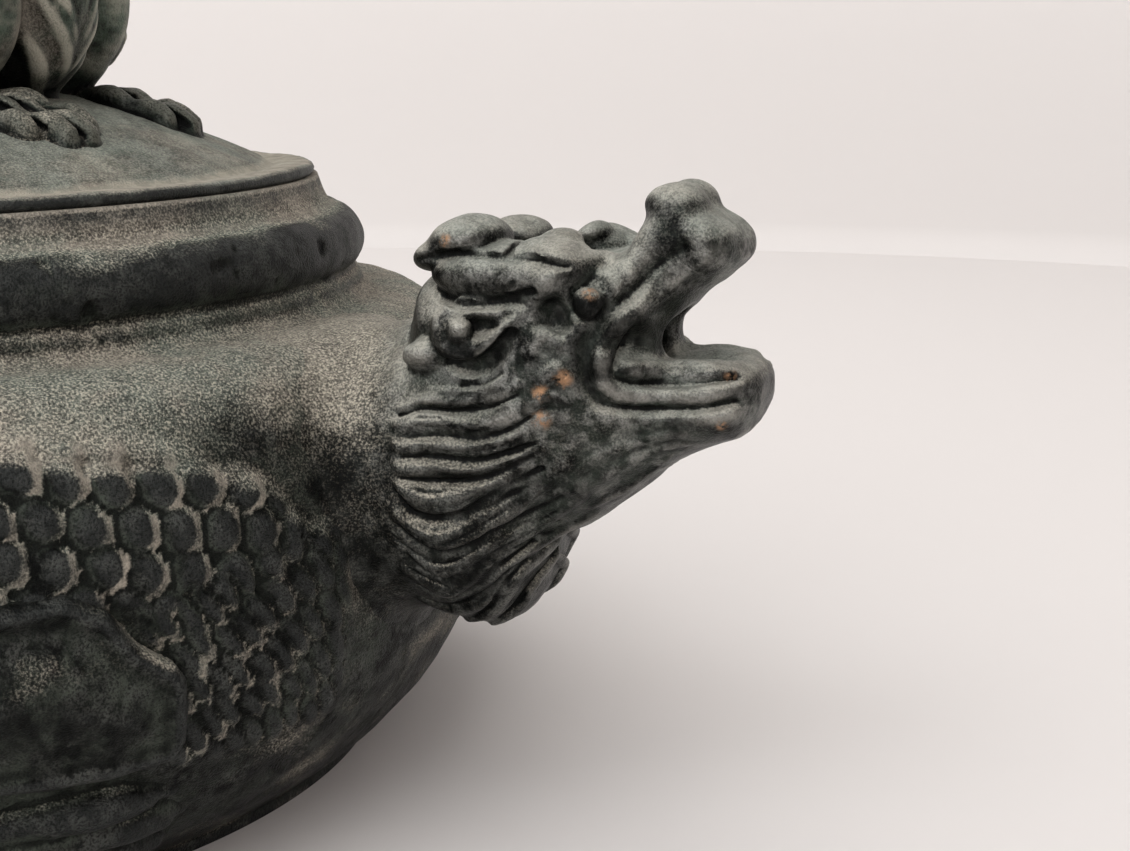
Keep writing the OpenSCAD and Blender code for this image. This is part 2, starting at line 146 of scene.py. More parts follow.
def soft_step(values: np.ndarray, low: float, high: float) -> np.ndarray:
    """Rises smoothly from 0 at low to 1 at high; low may be the larger of the two."""
    t = np.clip((values - low) / (high - low), 0, 1)
    return t * t * (3 - 2 * t)


def turned(points: np.ndarray, degrees: float) -> np.ndarray:
    """Rows of x, y, z turned about the Z axis."""
    c, s = math.cos(math.radians(degrees)), math.sin(math.radians(degrees))
    return points @ np.array([[c, s, 0], [-s, c, 0], [0, 0, 1]])


def polygon_distance(x: np.ndarray, z: np.ndarray, corners: Path) -> np.ndarray:
    """Signed distance from places, given by two coordinates, to a closed outline; negative inside."""
    nearest = np.full(np.broadcast(x, z).shape, math.inf)
    inside = np.zeros(nearest.shape, bool)
    for (ax, az), (bx, bz) in zip(corners, np.roll(corners, -1, axis=0)):
        run, rise = bx - ax, bz - az
        share = np.clip(((x - ax) * run + (z - az) * rise) / max(run**2 + rise**2, TINY), 0, 1)
        nearest = np.minimum(nearest, (x - ax - share * run) ** 2 + (z - az - share * rise) ** 2)
        inside ^= ((az > z) != (bz > z)) & (x < run * (z - az) / (rise or TINY) + ax)
    return np.where(inside, -1, 1) * np.sqrt(nearest)


def taper_distance(grids: Grids, a: np.ndarray, b: np.ndarray) -> np.ndarray:
    """Signed distance over the grids to a straight taper, whose ends a and b hold x, y, z and radius."""
    axis = b[:3] - a[:3]
    offset = [grid - start for grid, start in zip(grids, a)]
    share = np.clip(sum(o * s for o, s in zip(offset, axis)) / max(float(axis @ axis), TINY), 0, 1)
    gap = np.sqrt(sum((o - share * s) ** 2 for o, s in zip(offset, axis)))
    return (gap - (a[3] + (b[3] - a[3]) * share)).astype(np.float32)


# ---------------------------------------------------------------- clay


@dataclass
class Clay:
    """A block of clay: signed distances in millimetres on an even grid, negative inside.

    Attributes:
        low: Lowest corner of the block.
        high: Highest corner of the block.
        voxel: Grid spacing.
    """

    low: Triple
    high: Triple
    voxel: float
    axes: list[np.ndarray] = field(init=False)
    values: np.ndarray = field(init=False)

    def __post_init__(self) -> None:
        """Makes an empty block."""
        step = self.voxel
        self.axes = [np.arange(a, b + step, step, dtype=np.float32) for a, b in zip(self.low, self.high)]
        self.values = np.full([len(axis) for axis in self.axes], FAR, np.float32)

    def grids(self) -> Grids:
        """The block's x, y and z, shaped to broadcast over it."""
        return tuple(np.ix_(*self.axes))

    def window(self, rows: np.ndarray, reach: float) -> tuple[tuple[slice, ...], Grids] | None:
        """The part of the block round some places.

        Args:
            rows: Rows that start with x, y, z.
            reach: How far round them.

        Returns:
            The slices and the x, y, z grids that broadcast over them, or None where the block ends first.
        """
        cuts = []
        for axis, start, low, high in zip(self.axes, self.low, rows.min(0) - reach, rows.max(0) + reach):
            cut = slice(max(0, int((low - start) / self.voxel) - 1),
                        min(len(axis), int((high - start) / self.voxel) + 3))
            if cut.stop <= cut.start:
                return None
            cuts.append(cut)
        return tuple(cuts), tuple(np.ix_(*(axis[cut] for axis, cut in zip(self.axes, cuts))))

    def merge(self, form: np.ndarray, blend: float, carve: bool = False,
              cuts: tuple[slice, ...] = ()) -> None:
        """Joins a form to the clay, or takes it away, with a rounded edge.

        Args:
            form: Signed distances.
            blend: Width of the rounding.
            carve: Take away instead of adding.
            cuts: The window that form fills; the whole block if it isn't given.
        """
        sign = -1 if carve else 1
        here = self.values[cuts]
        h = np.clip(0.5 + 0.5 * (sign * here - form) / blend, 0, 1)
        self.values[cuts] = here * (1 - h) + sign * (form * h - blend * h * (1 - h))

    def ball(self, centre: Triple, radii: Triple, blend: float = 0.5, carve: bool = False,
             lean: float = 0.0) -> None:
        """An oval ball.

        Args:
            centre: Its middle.
            radii: Half sizes along x, y and z.
            blend: Width of the rounding where it joins.
            carve: Take away instead of adding.
            lean: Turn about the Y axis, in degrees.
        """
        found = self.window(np.array([centre]), max(radii) + blend + self.voxel)
        if found is None:
            return
        x, y, z = (grid - middle for grid, middle in zip(found[1], centre))
        c, s = math.cos(math.radians(lean)), math.sin(math.radians(lean))
        parts = [part / size for part, size in zip((x * c + z * s, y, z * c - x * s), radii)]
        near = np.sqrt(sum(part**2 for part in parts))
        steep = np.sqrt(sum((part / size) ** 2 for part, size in zip(parts, radii)))
        self.merge(near * (near - 1) / np.maximum(steep, TINY), blend, carve, found[0])

    def balls(self, rows: Sequence[tuple[Triple, Triple, float]], blend: float) -> None:
        """Several balls, each given by its middle, half sizes and lean."""
        for centre, radii, lean in rows:
            self.ball(centre, radii, blend, lean=lean)

    def strand(self, path: Path, blend: float = 0.3, carve: bool = False) -> None:
        """A round strand along a smooth path.

        Args:
            path: Rows of x, y, z and radius.
            blend: Width of the rounding where it joins.
            carve: Take away instead of adding.
        """
        rows = smooth_path(path, 0.7)
        rows[:, 3] = np.maximum(rows[:, 3], 0.05)
        room = blend + self.voxel
        found = self.window(rows, rows[:, 3].max() + room)
        if found is None:
            return
        form = np.full(self.values[found[0]].shape, FAR, np.float32)
        for pair in zip(rows, rows[1:]):
            part = self.window(np.array(pair), max(pair[0][3], pair[1][3]) + room)
            if part is not None:
                inner = tuple(slice(p.start - c.start, p.stop - c.start) for p, c in zip(part[0], found[0]))
                form[inner] = np.minimum(form[inner], taper_distance(part[1], *pair))
        self.merge(form, blend, carve, found[0])

    def loft(self, stations: Path, fullness: float, blend: float = 0.6) -> None:
        """A form over upright ovals across the X axis.

        Args:
            stations: Rows of x, top, bottom and half width.
            fullness: Power of the ovals, where 2 is an ellipse.
            blend: Width of the rounding where it joins.
        """
        rows = smooth_path(stations, 0.4)
        x, y, z = self.grids()
        top, bottom, wide = (np.interp(x, rows[:, 0], rows[:, k]) for k in (1, 2, 3))
        tall, wide = np.maximum((top - bottom) / 2, 0.1), np.maximum(wide, 0.1)
        upright = np.abs(z - (top + bottom) / 2) / tall
        oval = ((np.abs(y) / wide) ** fullness + upright**fullness) ** (1 / fullness)
        ends = np.maximum(rows[0, 0] - x, x - rows[-1, 0])
        self.merge(np.maximum((oval - 1) * np.minimum(wide, tall), ends).astype(np.float32), blend)

    def side(self, x: np.ndarray | float, z: np.ndarray | float) -> np.ndarray:
        """The y of the clay's outermost surface on the camera's side at places given by x and z."""
        i, k = (
            np.clip(np.rint((place - self.low[axis]) / self.voxel).astype(int), 0, len(self.axes[axis]) - 1)
            for place, axis in ((x, 0), (z, 2))
        )
        columns = self.values[i, :, k]
        first = (columns < 0).argmax(axis=-1)
        return np.where(columns.min(axis=-1) < 0, self.axes[1][first], 0.0)

    def drape(self, strokes: Sequence[Path], sink: float) -> list[np.ndarray]:
        """Lays strokes drawn from the side onto the clay as it is now.

        Args:
            strokes: Each is rows of x, z and radius.
            sink: How much of its radius a stroke sinks into the clay.

        Returns:
            Each stroke's rows of x, y, z and radius.
        """
        laid = []
        for stroke in strokes:
            x, z, radius = smooth_path(stroke, 0.8).T
            y = self.side(x, z)
            y[1:-1] = (y[:-2] + y[1:-1] + y[2:]) / 3
            laid.append(np.column_stack([x, y + sink * radius, z, radius]))
        return laid

    def draw(self, strokes: Sequence[Path], sink: float, blend: float, carve: bool = False,
             swell: float = 1.0) -> None:
        """Lays strokes drawn from the side onto the clay and works them in.

        Args:
            strokes: Each is rows of x, z and radius.
            sink: How much of its radius a stroke sinks into the clay.
            blend: Width of the rounding where it joins.
            carve: Take away instead of adding.
            swell: What the radius is then multiplied by.
        """
        for path in self.drape(strokes, sink):
            self.strand(path * (1, 1, 1, swell), blend, carve)

    def seat(self, ground: np.ndarray, fillet: float, skirt: float, hold: float, depth: float) -> None:
        """Flares the clay out onto a surface, and keeps only a thin skirt of it below.

        Args:
            ground: Signed distance to what the clay sits on.
            fillet: Width of the flare.
            skirt: How far the flare reaches beyond the clay's own shape.
            hold: How far below the surface the flare starts.
            depth: How far below the surface the clay ends.
        """
        shape = self.values.copy()
        self.merge(ground + hold, fillet)
        self.values = np.maximum(np.maximum(self.values, shape - skirt), -(ground + depth))

    def skin(self, mirrored: bool = False) -> "Skin":
        """The clay's skin; a mirrored block ends at y = 0 and stands for both sides."""
        whole = self.values
        if mirrored:
            half = whole[:, : int(np.argmin(np.abs(self.axes[1]))) + 1]
            whole = np.concatenate([half, half[:, :-1][:, ::-1]], axis=1)
        whole = np.clip(whole, -2 * self.voxel, 2 * self.voxel) / self.voxel
        for axis in range(3):
            edge = np.moveaxis(whole, axis, 0)
            edge[[0, -1]] = np.maximum(edge[[0, -1]], 0.5)
        grid = openvdb.FloatGrid(background=2.0)
        grid.copyFromArray(np.ascontiguousarray(whole, np.float32))
        points, triangles, quads = grid.convertToPolygons(isovalue=0.0, adaptivity=0.0)
        return Skin(points * self.voxel + self.low, quads.astype(int), triangles.astype(int))


# ---------------------------------------------------------------- skins


@dataclass
class Skin:
    """A mesh in the making, in millimetres, with what is painted on its points.

    Attributes:
        points: Rows of x, y, z.
        quads: Rows of four point numbers.
        triangles: Rows of three point numbers.
        paint: Painted values by name, one for each point.
    """

    points: np.ndarray
    quads: np.ndarray
    triangles: np.ndarray = field(default_factory=lambda: np.zeros((0, 3), int))
    paint: dict[str, np.ndarray] = field(default_factory=dict)

    def normals(self) -> np.ndarray:
        """Unit normals of the points."""
        total = np.zeros_like(self.points)
        for faces in (self.quads, self.triangles):
            corners = self.points[faces]
            face = np.cross(corners[:, 2] - corners[:, 0], corners[:, -1] - corners[:, 1])
            for column in faces.T:
                for axis in range(3):
                    total[:, axis] += np.bincount(column, face[:, axis], len(total))
        return total / np.maximum(np.linalg.norm(total, axis=1, keepdims=True), TINY)

    def spread(self, values: np.ndarray, rounds: int) -> np.ndarray:
        """Averages values with their neighbours' over the mesh.

        Args:
            values: One row for each point.
            rounds: How often, which sets how far.

        Returns:
            The averaged rows.
        """
        faces = (self.quads, self.triangles)
        start = np.concatenate([face.ravel() for face in faces])
        end = np.concatenate([np.roll(face, -1, axis=1).ravel() for face in faces])
        count = len(self.points)
        share = np.maximum(np.bincount(start, minlength=count) + np.bincount(end, minlength=count), 1)
        values = values.astype(float)
        for _ in range(rounds):
            for here in values.T:
                total = np.bincount(start, here[end], count) + np.bincount(end, here[start], count)
                here[:] = 0.5 * here + 0.5 * total / share
        return values

    def roughen(self, size: float, depth: float, seed: int, layers: int = 3) -> None:
        """Moves the points along their normals by a layered noise.

        Args:
            size: Width of the largest lumps.
            depth: Height of the largest lumps.
            seed: Which noise.
            layers: How many finer noises are added.
        """
        noise = layered_noise(self.points, size, layers, seed)[:, None]
        self.points = self.points + depth * self.normals() * noise

    def age(self, fine: int, broad: int, depth: float) -> None:
        """Paints how hollow each point lies, near and wide, for dust, bloom, wear with its painted highlight,
        and the painted shade of hollows.

        Args:
            fine: Rounds of averaging for small grooves and edges.
            broad: Rounds for wide hollows.
            depth: Depth that counts as a full hollow.
        """
        normals = self.normals()
        near = self.spread(self.points, fine)
        wide = self.spread(near, broad - fine)
        for key, level, full in (("hollow", near, depth), ("broad", wide, 3 * depth)):
            self.paint[key] = np.clip(((level - self.points) * normals).sum(1) / full, -1, 1)

    def piece(self, name: str, body: Body, slot: Slot, node: str,
              material: bpy.types.Material) -> bpy.types.Object:
        """Hands the skin over as a finished piece.

        Args:
            name: The piece's name.
            body: The CAD body it rides on.
            slot: The record's slot; not used.
            node: The CAD node that it replaces.
            material: Its material.

        Returns:
            The Blender object.
        """
        mesh = bpy.data.meshes.new(name)
        quads, triangles = self.quads, self.triangles
        loops = np.concatenate([quads.ravel(), triangles.ravel()])
        starts = np.concatenate([4 * np.arange(len(quads)), 4 * len(quads) + 3 * np.arange(len(triangles))])
        mesh.vertices.add(len(self.points))
        mesh.vertices.foreach_set("co", (self.points * MM).astype(np.float32).ravel())
        mesh.loops.add(len(loops))
        mesh.loops.foreach_set("vertex_index", loops.astype(np.int32))
        mesh.polygons.add(len(starts))
        mesh.polygons.foreach_set("loop_start", starts.astype(np.int32))
        mesh.update(calc_edges=True)
        mesh.polygons.foreach_set("use_smooth", np.ones(len(starts), bool))
        for key in PAINTS:
            values = self.paint.get(key, np.zeros(len(self.points)))
            mesh.attributes.new(key, "FLOAT", "POINT").data.foreach_set("value", values.astype(np.float32))
        mesh.materials.append(material)
        made = put(name, mesh)
        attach(made, body.value)
        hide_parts(node)
        LOG.info("%s: %d faces, for %s", name, len(starts), node)
        return made


def even_spacing(outline: np.ndarray, step: float) -> np.ndarray:
    """Points at an even distance of about step along an open outline, whose ends stay."""
    along = np.concatenate([[0], np.cumsum(np.linalg.norm(np.diff(outline, axis=0), axis=1))])
    places = np.linspace(0, along[-1], max(2, round(along[-1] / step) + 1))
    return np.column_stack([np.interp(places, along, column) for column in outline.T])


@dataclass
class Ring:
    """The outline of a cast ring about the Z axis, evenly spaced.

    Attributes:
        outside: Its outer outline, upwards: rows of radius and height.
        inside: Its inner outline, downwards, likewise.
        cell: Distance between the outer points; the inner ones lie three times as far apart.
        columns: Points round the axis.
    """

    outside: np.ndarray
    inside: np.ndarray
    cell: float
    columns: int
    turn: np.ndarray = field(init=False)

    def __post_init__(self) -> None:
        """Spaces the outlines, and softens the outer one's corners."""
        outer = even_spacing(self.outside, self.cell)
        outer[1:-1] = (outer[:-2] + outer[1:-1] + outer[2:]) / 3
        self.outside, self.inside = outer, even_spacing(self.inside, 3 * self.cell)
        self.turn = np.linspace(-math.pi, math.pi, self.columns, endpoint=False)

    def noise(self, size: float, layers: int, seed: int, flat: float = 1.0) -> np.ndarray:
        """Layered noise on the outer face, rows by columns, with lumps flat times as low as wide."""
        r, z = self.outside[:, :1], self.outside[:, 1:] * flat
        places = np.stack([r * np.cos(self.turn), r * np.sin(self.turn), z + 0 * self.turn], axis=-1)
        return layered_noise(places.reshape(-1, 3), size, layers, seed).reshape(places.shape[:2])

    def skin(self, lift: np.ndarray) -> Skin:
        """The closed and aged skin.

        Args:
            lift: How far each outer point stands off the outline, rows by columns.

        Returns:
            The skin, whose points run row by row.
        """
        section = np.vstack([self.outside, self.inside])
        ahead = np.roll(section, -1, axis=0) - np.roll(section, 1, axis=0)
        ahead /= np.maximum(np.linalg.norm(ahead, axis=1, keepdims=True), TINY)
        lift = np.vstack([lift, np.zeros((len(self.inside), self.columns))])
        r, z = section[:, :1] + ahead[:, 1:] * lift, section[:, 1:] - ahead[:, :1] * lift
        points = np.stack([r * np.cos(self.turn), r * np.sin(self.turn), z], axis=-1).reshape(-1, 3)
        number = np.arange(len(points)).reshape(lift.shape)
        below = np.roll(number, -1, axis=0)
        corners = [number, np.roll(number, -1, axis=1), np.roll(below, -1, axis=1), below]
        skin = Skin(points, np.stack(corners, axis=-1).reshape(-1, 4))
        skin.age(8, 34, 0.12)
        return skin


# ---------------------------------------------------------------- the vessel


@dataclass(frozen=True)
class ScaleBand:
    """Overlapping cast scales, whose free round ends point to the dragon's head.

    Attributes:
        start: A known scale's distance towards the head and its height.
        pitch: Distance between scales along a row.
        row_pitch: Distance between rows.
        radius: Radius of a scale.
        slope: Fall of a row for each millimetre towards the head.
        height: How far a scale stands up.
        shifts: Each row's offset along itself, repeated.
        seed: Which irregularities.
    """

    start: tuple[float, float] = (-40.1, 38.7)
    pitch: float = 3.45
    row_pitch: float = 3.1
    radius: float = 2.2
    slope: float = 0.21
    height: float = 0.8
    shifts: tuple[float, ...] = (0.0, 1.4, 1.9, 0.2, 1.6, 0.1)
    seed: int = 5

    def relief(self, ahead: np.ndarray, z: np.ndarray) -> tuple[np.ndarray, np.ndarray]:
        """The scales' height and where dust lies between them.

        Args:
            ahead: Distance towards the head.
            z: Height.

        Returns:
            Height in millimetres, and dust, where less than 0 is clean.
        """
        count = 61
        random = np.random.default_rng(self.seed).uniform(-1, 1, (count, count, 3))
        u = ahead - self.start[0]
        v = z - self.start[1] + self.slope * u
        best, dust = np.full(u.shape, -1.0), np.full(u.shape, -0.5)
        row_near = np.round(-v / self.row_pitch).astype(int)
        for row_step, place_step in np.ndindex(3, 3):
            row = row_near + row_step - 1
            shift = np.array(self.shifts)[row % len(self.shifts)]
            place = np.round((u - shift) / self.pitch).astype(int) + place_step - 1
            slide, drop, odd = np.moveaxis(random[row % count, place % count], -1, 0)
            du = u - shift - place * self.pitch - 0.3 * slide
            dv = v + row * self.row_pitch - 0.25 * drop
            out = np.hypot(du, dv)
            far = out / (self.radius * (1 + 0.07 * odd))
            height = self.height * (1 - far**3) + 0.16 * du
            wins = (far < 1) & (height > best)
            best = np.where(wins, height, best)
            front = (0.96 * du - 0.28 * dv) / np.maximum(out, 0.05) + 0.15 * odd
            edge = soft_step(far, 0.72 - 0.24 * front, 0.84 - 0.2 * front) * soft_step(front, 0.0, 0.7)
            dust = np.where(wins, (1.65 + 0.3 * slide) * edge - 0.7, dust)
        return np.maximum(best, -0.35), dust


@dataclass
class VesselBody:
    """The round cast vessel with its rolled neck, sized as in the CAD.

    Attributes:
        foot_r: Radius of the foot.
        foot_h: Height of the foot's upright edge.
        belly_r: Largest radius.
        belly_z: Height of the largest radius.
        shoulder_r: Radius where the shoulder ends.
        shoulder_z: Height of the shoulder.
        power: Roundness of the shoulder.
        wall: Thickness of the casting.
        roll_r: Middle radius of the roll.
        roll_z: Middle height of the roll.
        roll_half: Half thickness of the roll.
        cove_r: Radius of the hollow below the roll.
        rim_r: Radius of the lid's seat.
        seat_z: Height of the lid's seat.
        mouth_r: Radius of the mouth.
        ledge_r: Radius inside the ink cup's ledge.
        ledge_z: Height of the ink cup's ledge.
        plate_r: Radius of the recess for the base plate.
        plate_t: Depth of the recess for the base plate.
        floor: Thickness of the casting above the base plate.
        scales_top: Upper edge of the scales: degrees from the head, and heights.
        scales_low: Their lower edge, likewise.
    """

    foot_r: float = 45.0
    foot_h: float = 1.2
    belly_r: float = 57.5
    belly_z: float = 24.0
    shoulder_r: float = 47.2
    shoulder_z: float = 44.4
    power: float = 2.6
    wall: float = 3.2
    roll_r: float = 42.4
    roll_z: float = 49.6
    roll_half: float = 3.3
    cove_r: float = 2.0
    rim_r: float = 41.3
    seat_z: float = 55.9
    mouth_r: float = 36.0
    ledge_r: float = 33.4
    ledge_z: float = 47.5
    plate_r: float = 40.0
    plate_t: float = 2.4
    floor: float = 1.8
    scales_top: tuple = ((14, 17.2, 20.5, 25.4, 30.8, 40.3, 60), (22, 31.3, 35.3, 37.7, 39.3, 41.2, 41.6))
    scales_low: tuple = ((20, 30, 56, 60, 116, 120, 180), (30, 28, 28, 17, 17, 28, 24))

    def belly(self, inset: float, low: float) -> np.ndarray:
        """Half outline of the belly from a low height to the shoulder, moved inwards.

        Args:
            inset: How far inwards.
            low: Height of the lowest point.

        Returns:
            Rows of radius and height.
        """
        drop, out = self.belly_z - self.foot_h, self.belly_r - self.foot_r
        arc = (out**2 + drop**2) / (2 * out)
        z = np.linspace(low, self.belly_z, 60)
        under = self.belly_r - arc + np.sqrt((arc - inset) ** 2 - (self.belly_z - z) ** 2)
        turn = np.linspace(0, math.pi / 2, 80)[1:]
        over = self.shoulder_r + (self.belly_r - self.shoulder_r - inset) * np.cos(turn) ** (2 / self.power)
        over_z = self.belly_z + (self.shoulder_z - self.belly_z - inset) * np.sin(turn) ** (2 / self.power)
        return np.column_stack([np.concatenate([under, over]), np.concatenate([z, over_z])])

    def at(self, angle: float, z: float, out: float) -> Triple:
        """A place at an angle in radians, at a height, and some way out of the belly."""
        r = float(np.interp(z, *self.belly(0, self.foot_h).T[::-1])) + out
        return r * math.cos(angle), r * math.sin(angle), z

    def outside(self) -> np.ndarray:
        """The outer outline from the foot to the lid's seat: rows of radius and height."""

        def arc(r: float, z: float, radius: float, low: float, high: float, count: int) -> np.ndarray:
            """Part of a circle, between two angles in degrees."""
            turn = np.radians(np.linspace(low, high, count))
            return np.column_stack([r + radius * np.cos(turn), z + radius * np.sin(turn)])

        return np.vstack([
            [[self.foot_r, 0.0]],
            self.belly(0, self.foot_h),
            arc(self.shoulder_r, self.shoulder_z + self.cove_r, self.cove_r, -90, -180, 12),
            arc(self.roll_r, self.roll_z, self.roll_half, -52, 84, 28),
            [[self.rim_r + 0.7, self.seat_z - 2.2], [self.rim_r, self.seat_z]],
        ])

    def inside(self) -> np.ndarray:
        """The inner outline from the lid's seat down to the foot: rows of radius and height."""
        floor_z, hole_r = self.plate_t + self.floor, self.plate_r - 3
        return np.vstack([
            [[self.mouth_r, self.seat_z], [self.mouth_r, self.ledge_z], [self.ledge_r, self.ledge_z]],
            [[self.ledge_r, self.shoulder_z - self.wall]],
            self.belly(self.wall, floor_z)[::-1],
            [[hole_r, floor_z], [hole_r, self.plate_t], [self.plate_r, self.plate_t], [self.plate_r, 0.0]],
        ])

    def cast_relief(self, ring: Ring) -> tuple[np.ndarray, np.ndarray]:
        """Scales, waves and pits of the outer face.

        Args:
            ring: The vessel's outlines.

        Returns:
            How far each point stands off, and how much more or less dust lies there, rows by columns.
        """
        z = ring.outside[:, 1:]
        away = np.abs(np.degrees(ring.turn)) + 0 * z
        ahead = -away * math.radians(self.belly_r)
        wave, ripple = ring.noise(14.0, 2, 3), ring.noise(2.6, 3, 7)
        band, band_dust = ScaleBand().relief(ahead + 0.5 * wave, z + 0.4 * wave)
        curls = ScaleBand((-24.8, 21.7), pitch=2.9, row_pitch=2.5, radius=1.8, slope=1.0, height=0.6, seed=9)
        curl, curl_dust = curls.relief(ahead + 1.2 * wave, z + 1.2 * wave)
        top, low = np.interp(away, *self.scales_top), np.interp(away, *self.scales_low)
        shown = soft_step(z, low - 1.5, low + 1.5) * soft_step(z, top + 1.4, top - 2.2)
        shown = shown * soft_step(away, 12, 18)
        curled = soft_step(z, 12, 15) * soft_step(z, low + 1.5, low - 1) * soft_step(away, 11, 15)
        curled = curled * soft_step(away, 33, 30) * (z < 34)
        upright = soft_step(z, 1.5, 4.0)
        neck = soft_step(z, 45.5, 47) * soft_step(z, 54, 52)
        pits = soft_step(ring.noise(2.2, 2, 21), 0.55, 0.95) * (0.08 + 0.22 * neck)
        lift = shown * (band + 0.1) + curled * (curl + 0.1) + upright * (0.16 * wave + 0.07 * ripple - pits)
        spilt = 0.9 * shown * soft_step(z - top, -5.0, -0.5) * (band_dust < 0)
        crust = (0.6 * ring.noise(6.0, 4, 23, 1.6) - 0.1) * soft_step(z, low + 1, low - 5) * (1 - curled)
        roll = soft_step(z, 47.2, 48.4) * soft_step(z, 53.0, 52.4) * (0.85 - 0.5 * ring.noise(4.0, 4, 27))
        rim = 0.4 * np.exp(-(((z - 53.2) / 0.4) ** 2)) + 0.42 * soft_step(z, 53.4, 54.4)
        patchy = 0.3 * ripple + 0.25 * ring.noise(7.0, 3, 25)
        scales = shown * (band_dust + patchy)
        scales += 0.75 * curled * soft_step(away, 10, 28) * (0.9 * curl_dust + patchy - 0.1)
        return lift, scales + spilt + crust + rim - roll

    def build(self) -> Skin:
        """The whole vessel as one closed skin."""
        ring = Ring(self.outside(), self.inside(), 0.42, 860)
        lift, dust = self.cast_relief(ring)
        lift[-4:] *= np.array([0.6, 0.3, 0.1, 0])[:, None]
        skin = ring.skin(lift)
        skin.paint["dust"] = np.vstack([dust, np.zeros((len(ring.inside), ring.columns))]).ravel()
        # Painted shade: the belly is painted more hollow towards the foot, which darkens it where it curves
        # under.
        skin.paint["hollow"] += 0.3 * soft_step(skin.points[:, 2], 15, 4)
        return skin


@dataclass
class TurnedForm:
    """A solid of revolution that clay can be set against.

    Attributes:
        outline: Its outer outline from the foot up: rows of radius and height.
        spacing: Grid spacing of the table of distances.
    """

    outline: np.ndarray
    spacing: float = 0.4
    low_z: float = field(init=False)
    table: np.ndarray = field(init=False)

    def __post_init__(self) -> None:
        """Works out the table of distances."""
        foot_z, top_z = self.outline[0, 1], self.outline[-1, 1]
        widest, highest = self.outline.max(axis=0)
        self.low_z = self.outline[:, 1].min() - 8
        r = np.arange(0.0, widest + 30, self.spacing)[:, None]
        z = np.arange(self.low_z, highest + 8, self.spacing)[None, :]
        corners = np.vstack([[[0.0, foot_z]], self.outline, [[0.0, top_z]]])
        self.table = polygon_distance(r + 0 * z, z + 0 * r, corners).astype(np.float32)

    def distance(self, x: np.ndarray, y: np.ndarray, z: np.ndarray) -> np.ndarray:
        """Signed distance to the form at places that broadcast together."""
        r = np.hypot(x, y) / self.spacing + 0 * z
        h = (z - self.low_z) / self.spacing + 0 * r
        i, k = (np.clip(part.astype(int), 0, size - 2) for part, size in zip((r, h), self.table.shape))
        fr, fh = np.clip(r - i, 0, 1), np.clip(h - k, 0, 1)
        low, high = (self.table[i, k + up] * (1 - fr) + self.table[i + 1, k + up] * fr for up in (0, 1))
        return (low * (1 - fh) + high * fh).astype(np.float32)


def seat_on(clay: Clay, form: TurnedForm, fillet: float, skirt: float = 1.6) -> None:
    """Flares clay out onto the vessel's form by fillet, with a skirt that reaches into it."""
    clay.seat(form.distance(*clay.grids()), fillet, skirt, 0.22, 1.3)


# ---------------------------------------------------------------- the dragon's head


